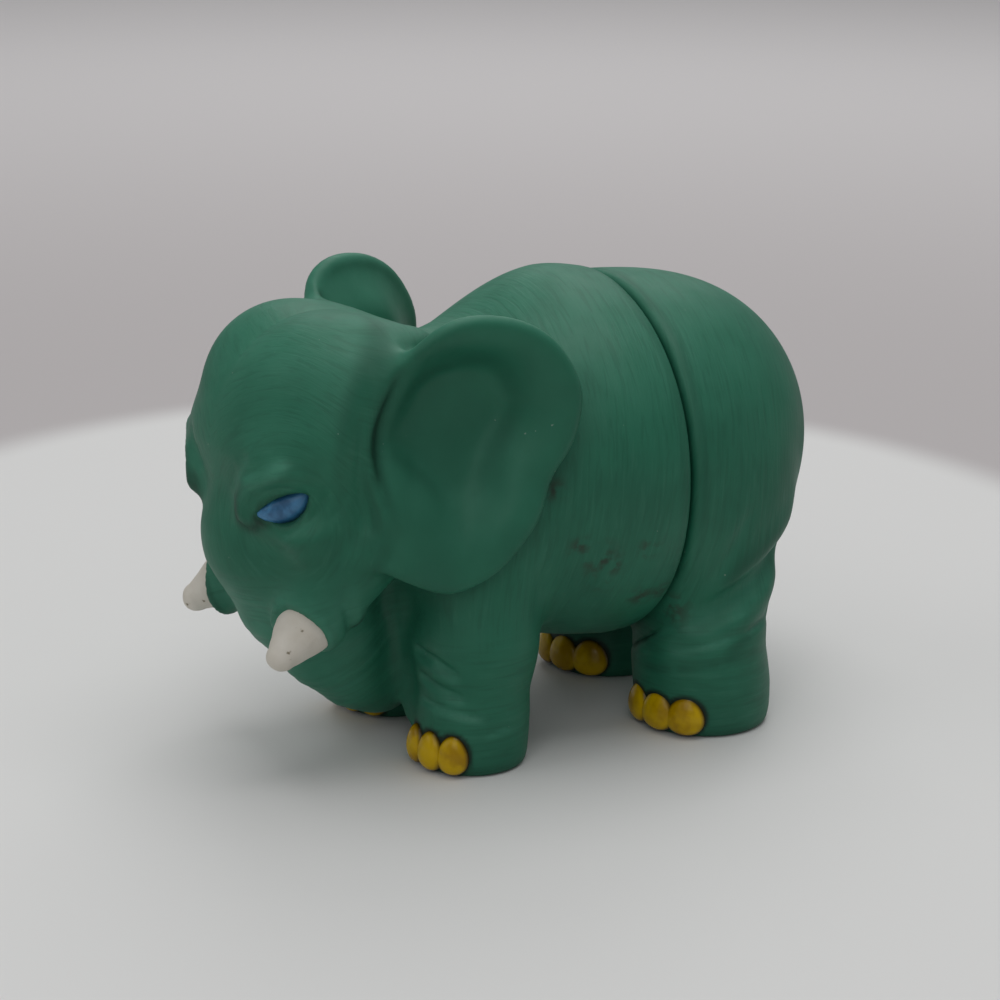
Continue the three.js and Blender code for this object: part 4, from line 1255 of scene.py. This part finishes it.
def turned_piece(name, profile, sides=128):
    """a closed ring turned about the barrel's axis from a profile of distance forward and radius"""
    turn = np.arange(sides) / sides * 2 * math.pi
    profile = np.array(profile, float)
    rings = len(profile)
    area = np.sum(profile[:, 0] * np.roll(profile[:, 1], -1) - np.roll(profile[:, 0], -1) * profile[:, 1])
    if area < 0:
        profile = profile[::-1]
    points = np.zeros((rings, sides, 3))
    points[:, :, 0] = seam_place + profile[:, 0][:, None]
    points[:, :, 1] = profile[:, 1][:, None] * np.cos(turn)
    points[:, :, 2] = barrel_height + profile[:, 1][:, None] * np.sin(turn)
    ring, side = np.meshgrid(np.arange(rings), np.arange(sides), indexing="ij")
    ahead, beside = (ring + 1) % rings, (side + 1) % sides
    faces = np.stack([ring * sides + side, ahead * sides + side,
                      ahead * sides + beside, ring * sides + beside], -1)
    mesh = vinyl_mesh(name, points.reshape(-1, 3), faces.reshape(-1, 4))
    shape = bmesh.new()
    shape.from_mesh(mesh)
    bmesh.ops.recalc_face_normals(shape, faces=shape.faces)
    shape.to_mesh(mesh)
    shape.free()
    mesh.set_sharp_from_angle(angle=math.radians(32))
    return mesh


def eased(profile, ease):
    """a profile with each corner taken off by a small rounding"""
    profile = np.array(profile, float)
    made = []
    for n, corner in enumerate(profile):
        before, after = profile[n - 1] - corner, profile[(n + 1) % len(profile)] - corner
        size = min(ease, 0.4 * np.linalg.norm(before), 0.4 * np.linalg.norm(after))
        a = corner + before / np.linalg.norm(before) * size
        b = corner + after / np.linalg.norm(after) * size
        made += [a, (a + b) / 4 + corner / 2, b]
    return made


def cream_plastic():
    """stiff cream plastic, faintly swirled, with a fine satin from the mould"""
    finish, recipe, shader = new_finish("hard_plastic")
    swirl = recipe.clouds(80.0, 3.0, 1.5)
    shine = recipe.add("ShaderNodeMapRange", {"Value": swirl, "To Min": 0.32, "To Max": 0.48})
    recipe.fill(shader, {
        "Base Color": recipe.mixed(swirl, (0.66, 0.63, 0.53, 1), (0.74, 0.72, 0.64, 1)),
        "Roughness": shine.outputs["Result"],
        "Normal": recipe.relief(recipe.clouds(2500.0, 2.0), 0.25, 0.00003),
    })
    return finish


plastic = cream_plastic()

plate_ease = 0.3

for half, direction in (("front", 1), ("rear", -1)):
    face = direction * (seam_gap / 2 + plate_sink)
    disc_back = face + direction * plate_thickness
    socket_back = face + direction * socket_depth
    socket_outside = socket_bore + socket_wall
    plate_profile = [
        (face, socket_bore), (face, plate_radius), (disc_back, plate_radius), (disc_back, socket_outside),
        (socket_back, socket_outside), (socket_back, socket_bore),
    ]
    plate_mesh = turned_piece(f"{half}_plate", eased(plate_profile, plate_ease))
    plate = add_piece(f"{half}_plate", plate_mesh, plastic)
    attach(plate, f"{half}_half")
    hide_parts(f"{half}_socket_plate")


# The coupling plug, a hollow peg of the same stiff plastic. Its bead snaps in behind the front socket,
# where it turns, and its chamfered end pushes into the rear socket, so that the halves pull apart there.

plug_radius = 4.6
plug_hollow = 2.6
plug_bead = 0.9
plug_bead_length = 2.0
plug_chamfer = 1.0
plug_ease = 0.25
plug_front = seam_gap / 2 + plate_sink + socket_depth + fit_gap
plug_rear = -(seam_gap / 2 + plate_sink + socket_depth)

plug_profile = [
    (plug_rear, plug_hollow), (plug_rear, plug_radius - plug_chamfer),
    (plug_rear + plug_chamfer, plug_radius),
    (plug_front, plug_radius), (plug_front, plug_radius + plug_bead),
    (plug_front + plug_bead_length - plug_bead, plug_radius + plug_bead),
    (plug_front + plug_bead_length, plug_radius), (plug_front + plug_bead_length, plug_hollow),
]
plug = add_piece("plug", turned_piece("plug", eased(plug_profile, plug_ease)), plastic)
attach(plug, "coupling")
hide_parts("coupling_plug")


# The tusks.
# Short blunt cones moulded with the head and dabbed with chalky off-white paint, worn through in a few
# specks near the tips.

tusk_wave = 0.06
tusk_taper = 1.1
tusk_step = 0.3
tusk_reach = 6.5


def tusk_wax(side):
    """the form of a tusk on one side: a cone with a round end, a little wavy"""
    root = tusk_root * (1, side, 1)
    run = tusk_way * (1, side, 1) * tusk_length

    def wax(at):
        """how far each place lies outside the tusk"""
        waves = tusk_wave * np.sin(at[:, 0] * 1.3 + at[:, 1] * 1.9) * np.sin(at[:, 2] * 1.7 - at[:, 1] * 0.9)
        share = np.clip((at - root) @ run / tusk_length ** 2, 0, 1)
        radius = tusk_radius + (tusk_tip_radius - tusk_radius) * share ** tusk_taper - tusk_wave
        return length_of(at - root - share[:, None] * run) - radius + waves
    return wax


def tusk_paint():
    """chalky off-white paint, uneven, with dark specks where it is worn"""
    finish, recipe, shader = new_finish("tusk_paint")
    tones = recipe.mixed(recipe.clouds(350.0, 4.0), (0.54, 0.50, 0.42, 1), (0.70, 0.67, 0.61, 1))
    worn = recipe.between(recipe.clouds(650.0, 3.0), 0.66, 0.72)
    recipe.fill(shader, {
        "Base Color": recipe.mixed(worn, tones, (0.22, 0.19, 0.13, 1)),
        "Roughness": 0.72, "Specular IOR Level": 0.3,
        "Normal": recipe.relief(recipe.clouds(900.0, 5.0), 0.6, 0.00012),
    })
    return finish


chalk_white = tusk_paint()

for side, side_name in ((1, "left"), (-1, "right")):
    tusk_form = tusk_wax(side)
    tusk_middle = (tusk_root + tusk_way * tusk_length / 2) * (1, side, 1)
    low, high = tusk_middle - tusk_reach, tusk_middle + tusk_reach
    tusk_points, tusk_faces = skin_of(tusk_form, low, high, tusk_step)
    tusk_points = smooth_onto(tusk_form, tusk_points, tusk_step)
    tusk_mesh = vinyl_mesh(f"{side_name}_tusk", tusk_points, tusk_faces)
    tusk = add_piece(f"{side_name}_tusk", tusk_mesh, chalk_white)
    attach(tusk, "front_half")
    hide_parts(f"tusk_{side_name}")


# The eyes.
# Slanted almonds moulded a little proud under the lids, each brushed with one coat of satin blue paint.

def eye_paint():
    """blue paint, brushed thin so that it is lighter where the vinyl's height wore it"""
    finish, recipe, shader = new_finish("eye_paint")
    brushed = recipe.clouds(420.0, 4.0, 0.8)
    recipe.fill(shader, {
        "Base Color": recipe.mixed(recipe.between(brushed, 0.35, 0.65), (0.014, 0.085, 0.19, 1),
                                   (0.048, 0.20, 0.38, 1)),
        "Roughness": 0.38, "Specular IOR Level": 0.5,
        "Normal": recipe.relief(brushed, 0.4, 0.00006),
    })
    return finish


satin_blue = eye_paint()

for side, side_name in ((1, "left"), (-1, "right")):
    eye_shape = bmesh.new()
    bmesh.ops.create_uvsphere(eye_shape, u_segments=48, v_segments=32, radius=1.0,
                              matrix=Matrix.Rotation(math.pi / 2, 4, "X"))
    for vertex in eye_shape.verts:
        vertex.co.z = (vertex.co.z * math.sqrt(max(1 - vertex.co.y ** 2, 0)) ** 0.3
                       + vertex.co.y ** 2 * 2 * eye_sag / eye_height)
    eye_place = (Matrix.Translation(Vector(eye_middle * (1, side, 1)) / 1000)
                 @ Matrix.Rotation(side * eye_turn, 4, "Z") @ Matrix.Rotation(side * eye_slant, 4, "X")
                 @ Matrix.Diagonal((eye_depth / 2000, eye_length / 2000, eye_height / 2000, 1)))
    eye_shape.transform(eye_place)
    bmesh.ops.remove_doubles(eye_shape, verts=eye_shape.verts, dist=1e-7)
    bmesh.ops.recalc_face_normals(eye_shape, faces=eye_shape.faces)
    eye_mesh = bpy.data.meshes.new(f"{side_name}_eye")
    eye_shape.to_mesh(eye_mesh)
    eye_shape.free()
    eye_mesh.polygons.foreach_set("use_smooth", np.ones(len(eye_mesh.polygons), bool))
    eye = add_piece(f"{side_name}_eye", eye_mesh, satin_blue)
    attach(eye, "front_half")
    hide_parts(f"eye_{side_name}")


# The toenails.
# Three raised nails stand side by side round the front of each foot, each rounded to a blunt point at its
# top and flooded with glossy yellow paint, deeper in colour in patches; painted shade darkens each nail
# towards its edge, in the corners between them.

def nail_paint():
    """thick glossy yellow paint, deeper in colour where it has pooled, and darkened round its edge with
    painted shade
    """
    finish, recipe, shader = new_finish("nail_paint")
    pooled = recipe.clouds(300.0, 3.0)
    tones = recipe.mixed(recipe.between(pooled, 0.35, 0.6), (0.36, 0.205, 0.0, 1), (0.56, 0.36, 0.0, 1))
    edge = recipe.add("ShaderNodeAttribute", attribute_name="nail_edge_shade").outputs["Fac"]
    recipe.fill(shader, {
        # painted shade towards the nail's edge
        "Base Color": recipe.mixed(edge, tones, (0.045, 0.026, 0.001, 1)),
        "Roughness": 0.22, "Specular IOR Level": 0.25,
        "Normal": recipe.relief(pooled, 0.35, 0.00010),
    })
    return finish


glossy_yellow = nail_paint()
nail_point = 0.35
nail_numbers = (1, 2, 3)


def toenail_tree():
    """geometry nodes: three toenails round the front of one foot, on both feet of a half"""
    tree = bpy.data.node_groups.new("toenails", "GeometryNodeTree")
    face = tree.interface
    face.new_socket("Geometry", in_out="OUTPUT", socket_type="NodeSocketGeometry")
    sizes = {}
    for name, kind in (("Left Foot", "Vector"), ("Right Foot", "Vector"), ("Reach", "Float"),
                       ("Turn Between Nails", "Float"), ("Turn To Left", "Float"), ("Nail Size", "Vector"),
                       ("Point", "Float"), ("Paint", "Material")):
        sizes[name] = face.new_socket(name, in_out="INPUT", socket_type=f"NodeSocket{kind}").identifier
    recipe = Recipe(tree)
    add, sums = recipe.add, recipe.sums
    given = add("NodeGroupInput").outputs

    # one nail: a pebble drawn in towards a blunt point at its top, with the painted shade towards its edge
    # marked
    pebble = add("GeometryNodeMeshUVSphere", {"Segments": 32, "Rings": 24, "Radius": 0.5})
    parts = add("ShaderNodeSeparateXYZ", {0: add("GeometryNodeInputPosition").outputs[0]}).outputs
    narrow = sums("SUBTRACT", 1.0, sums("MULTIPLY", parts["Z"], given["Point"]))
    shaped = add("ShaderNodeCombineXYZ", {
        "X": sums("MULTIPLY", parts["X"], narrow), "Y": sums("MULTIPLY", parts["Y"], narrow), "Z": parts["Z"],
    })
    sized = add("ShaderNodeVectorMath", {0: shaped.outputs[0], 1: given["Nail Size"]}, operation="MULTIPLY")
    edged = add("GeometryNodeStoreNamedAttribute", {
        "Geometry": pebble.outputs["Mesh"], "Name": "nail_edge_shade",
        "Value": recipe.between(parts["X"], 0.30, 0.06),
    }, data_type="FLOAT", domain="POINT")
    nail = add("GeometryNodeSetPosition", {0: edged.outputs["Geometry"], "Position": sized.outputs[0]})
    smooth = add("GeometryNodeSetShadeSmooth", {0: nail.outputs[0]})

    # three places round the front of each foot
    feet = add("GeometryNodeJoinGeometry")
    number = sums("SUBTRACT", add("GeometryNodeInputIndex").outputs[0], 1.0)
    fan = sums("MULTIPLY", number, given["Turn Between Nails"])
    for foot_name, side in (("Left Foot", 1.0), ("Right Foot", -1.0)):
        turn = sums("ADD", sums("MULTIPLY", fan, side), given["Turn To Left"])
        along = add("ShaderNodeCombineXYZ", {"X": sums("COSINE", turn), "Y": sums("SINE", turn)})
        reach = {0: along.outputs[0], "Scale": given["Reach"]}
        reached = add("ShaderNodeVectorMath", reach, operation="SCALE")
        placed = add("ShaderNodeVectorMath", {0: reached.outputs[0], 1: given[foot_name]}, operation="ADD")
        places = add("GeometryNodePoints", {"Count": len(nail_numbers), "Position": placed.outputs[0]})
        spin = add("ShaderNodeCombineXYZ", {"Z": turn})
        stood = add("GeometryNodeInstanceOnPoints", {
            "Points": places.outputs[0], "Instance": smooth.outputs[0], "Rotation": spin.outputs[0],
        })
        recipe.fill(feet, {0: stood.outputs[0]})
    real = add("GeometryNodeRealizeInstances", {0: feet.outputs[0]})
    painted = add("GeometryNodeSetMaterial", {"Geometry": real.outputs[0], "Material": given["Paint"]})
    add("NodeGroupOutput", {0: painted.outputs[0]})
    return tree, sizes


nails_tree, nail_inputs = toenail_tree()

for half, foot in (("front", fore_foot), ("rear", hind_foot)):
    holder = bpy.data.objects.new(f"{half}_nail_holder", bpy.data.meshes.new(f"{half}_nail_holder"))
    bpy.context.scene.collection.objects.link(holder)
    modifier = holder.modifiers.new("toenails", "NODES")
    modifier.node_group = nails_tree
    nail_reach = foot["radius"] + nail_stand
    for foot_name, side in (("Left Foot", 1), ("Right Foot", -1)):
        place, turn = nail_places(foot, side)[1]
        middle = np.array(place) - nail_reach * np.array([math.cos(turn), math.sin(turn), 0])
        modifier[nail_inputs[foot_name]] = [float(v) / 1000 for v in middle]
    modifier[nail_inputs["Reach"]] = nail_reach / 1000
    modifier[nail_inputs["Turn Between Nails"]] = nail_step
    modifier[nail_inputs["Turn To Left"]] = nail_turn
    modifier[nail_inputs["Nail Size"]] = [size / 1000 for size in nail_size(foot)]
    modifier[nail_inputs["Point"]] = nail_point
    modifier[nail_inputs["Paint"]] = glossy_yellow
    holder.update_tag()
    evaluated = holder.evaluated_get(bpy.context.evaluated_depsgraph_get())
    nail_mesh = bpy.data.meshes.new_from_object(evaluated)
    nail_mesh.name = f"{half}_toenails"
    holder.modifiers.clear()
    bpy.data.objects.remove(holder)
    toenails = add_piece(f"{half}_toenails", nail_mesh, glossy_yellow)
    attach(toenails, f"{half}_half")
    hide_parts(*(f"toenail_{half}_{side}_{n}" for side in ("left", "right") for n in nail_numbers))


# Colours are shown plainly, with the Standard view

bpy.context.scene.view_settings.view_transform = "Standard"
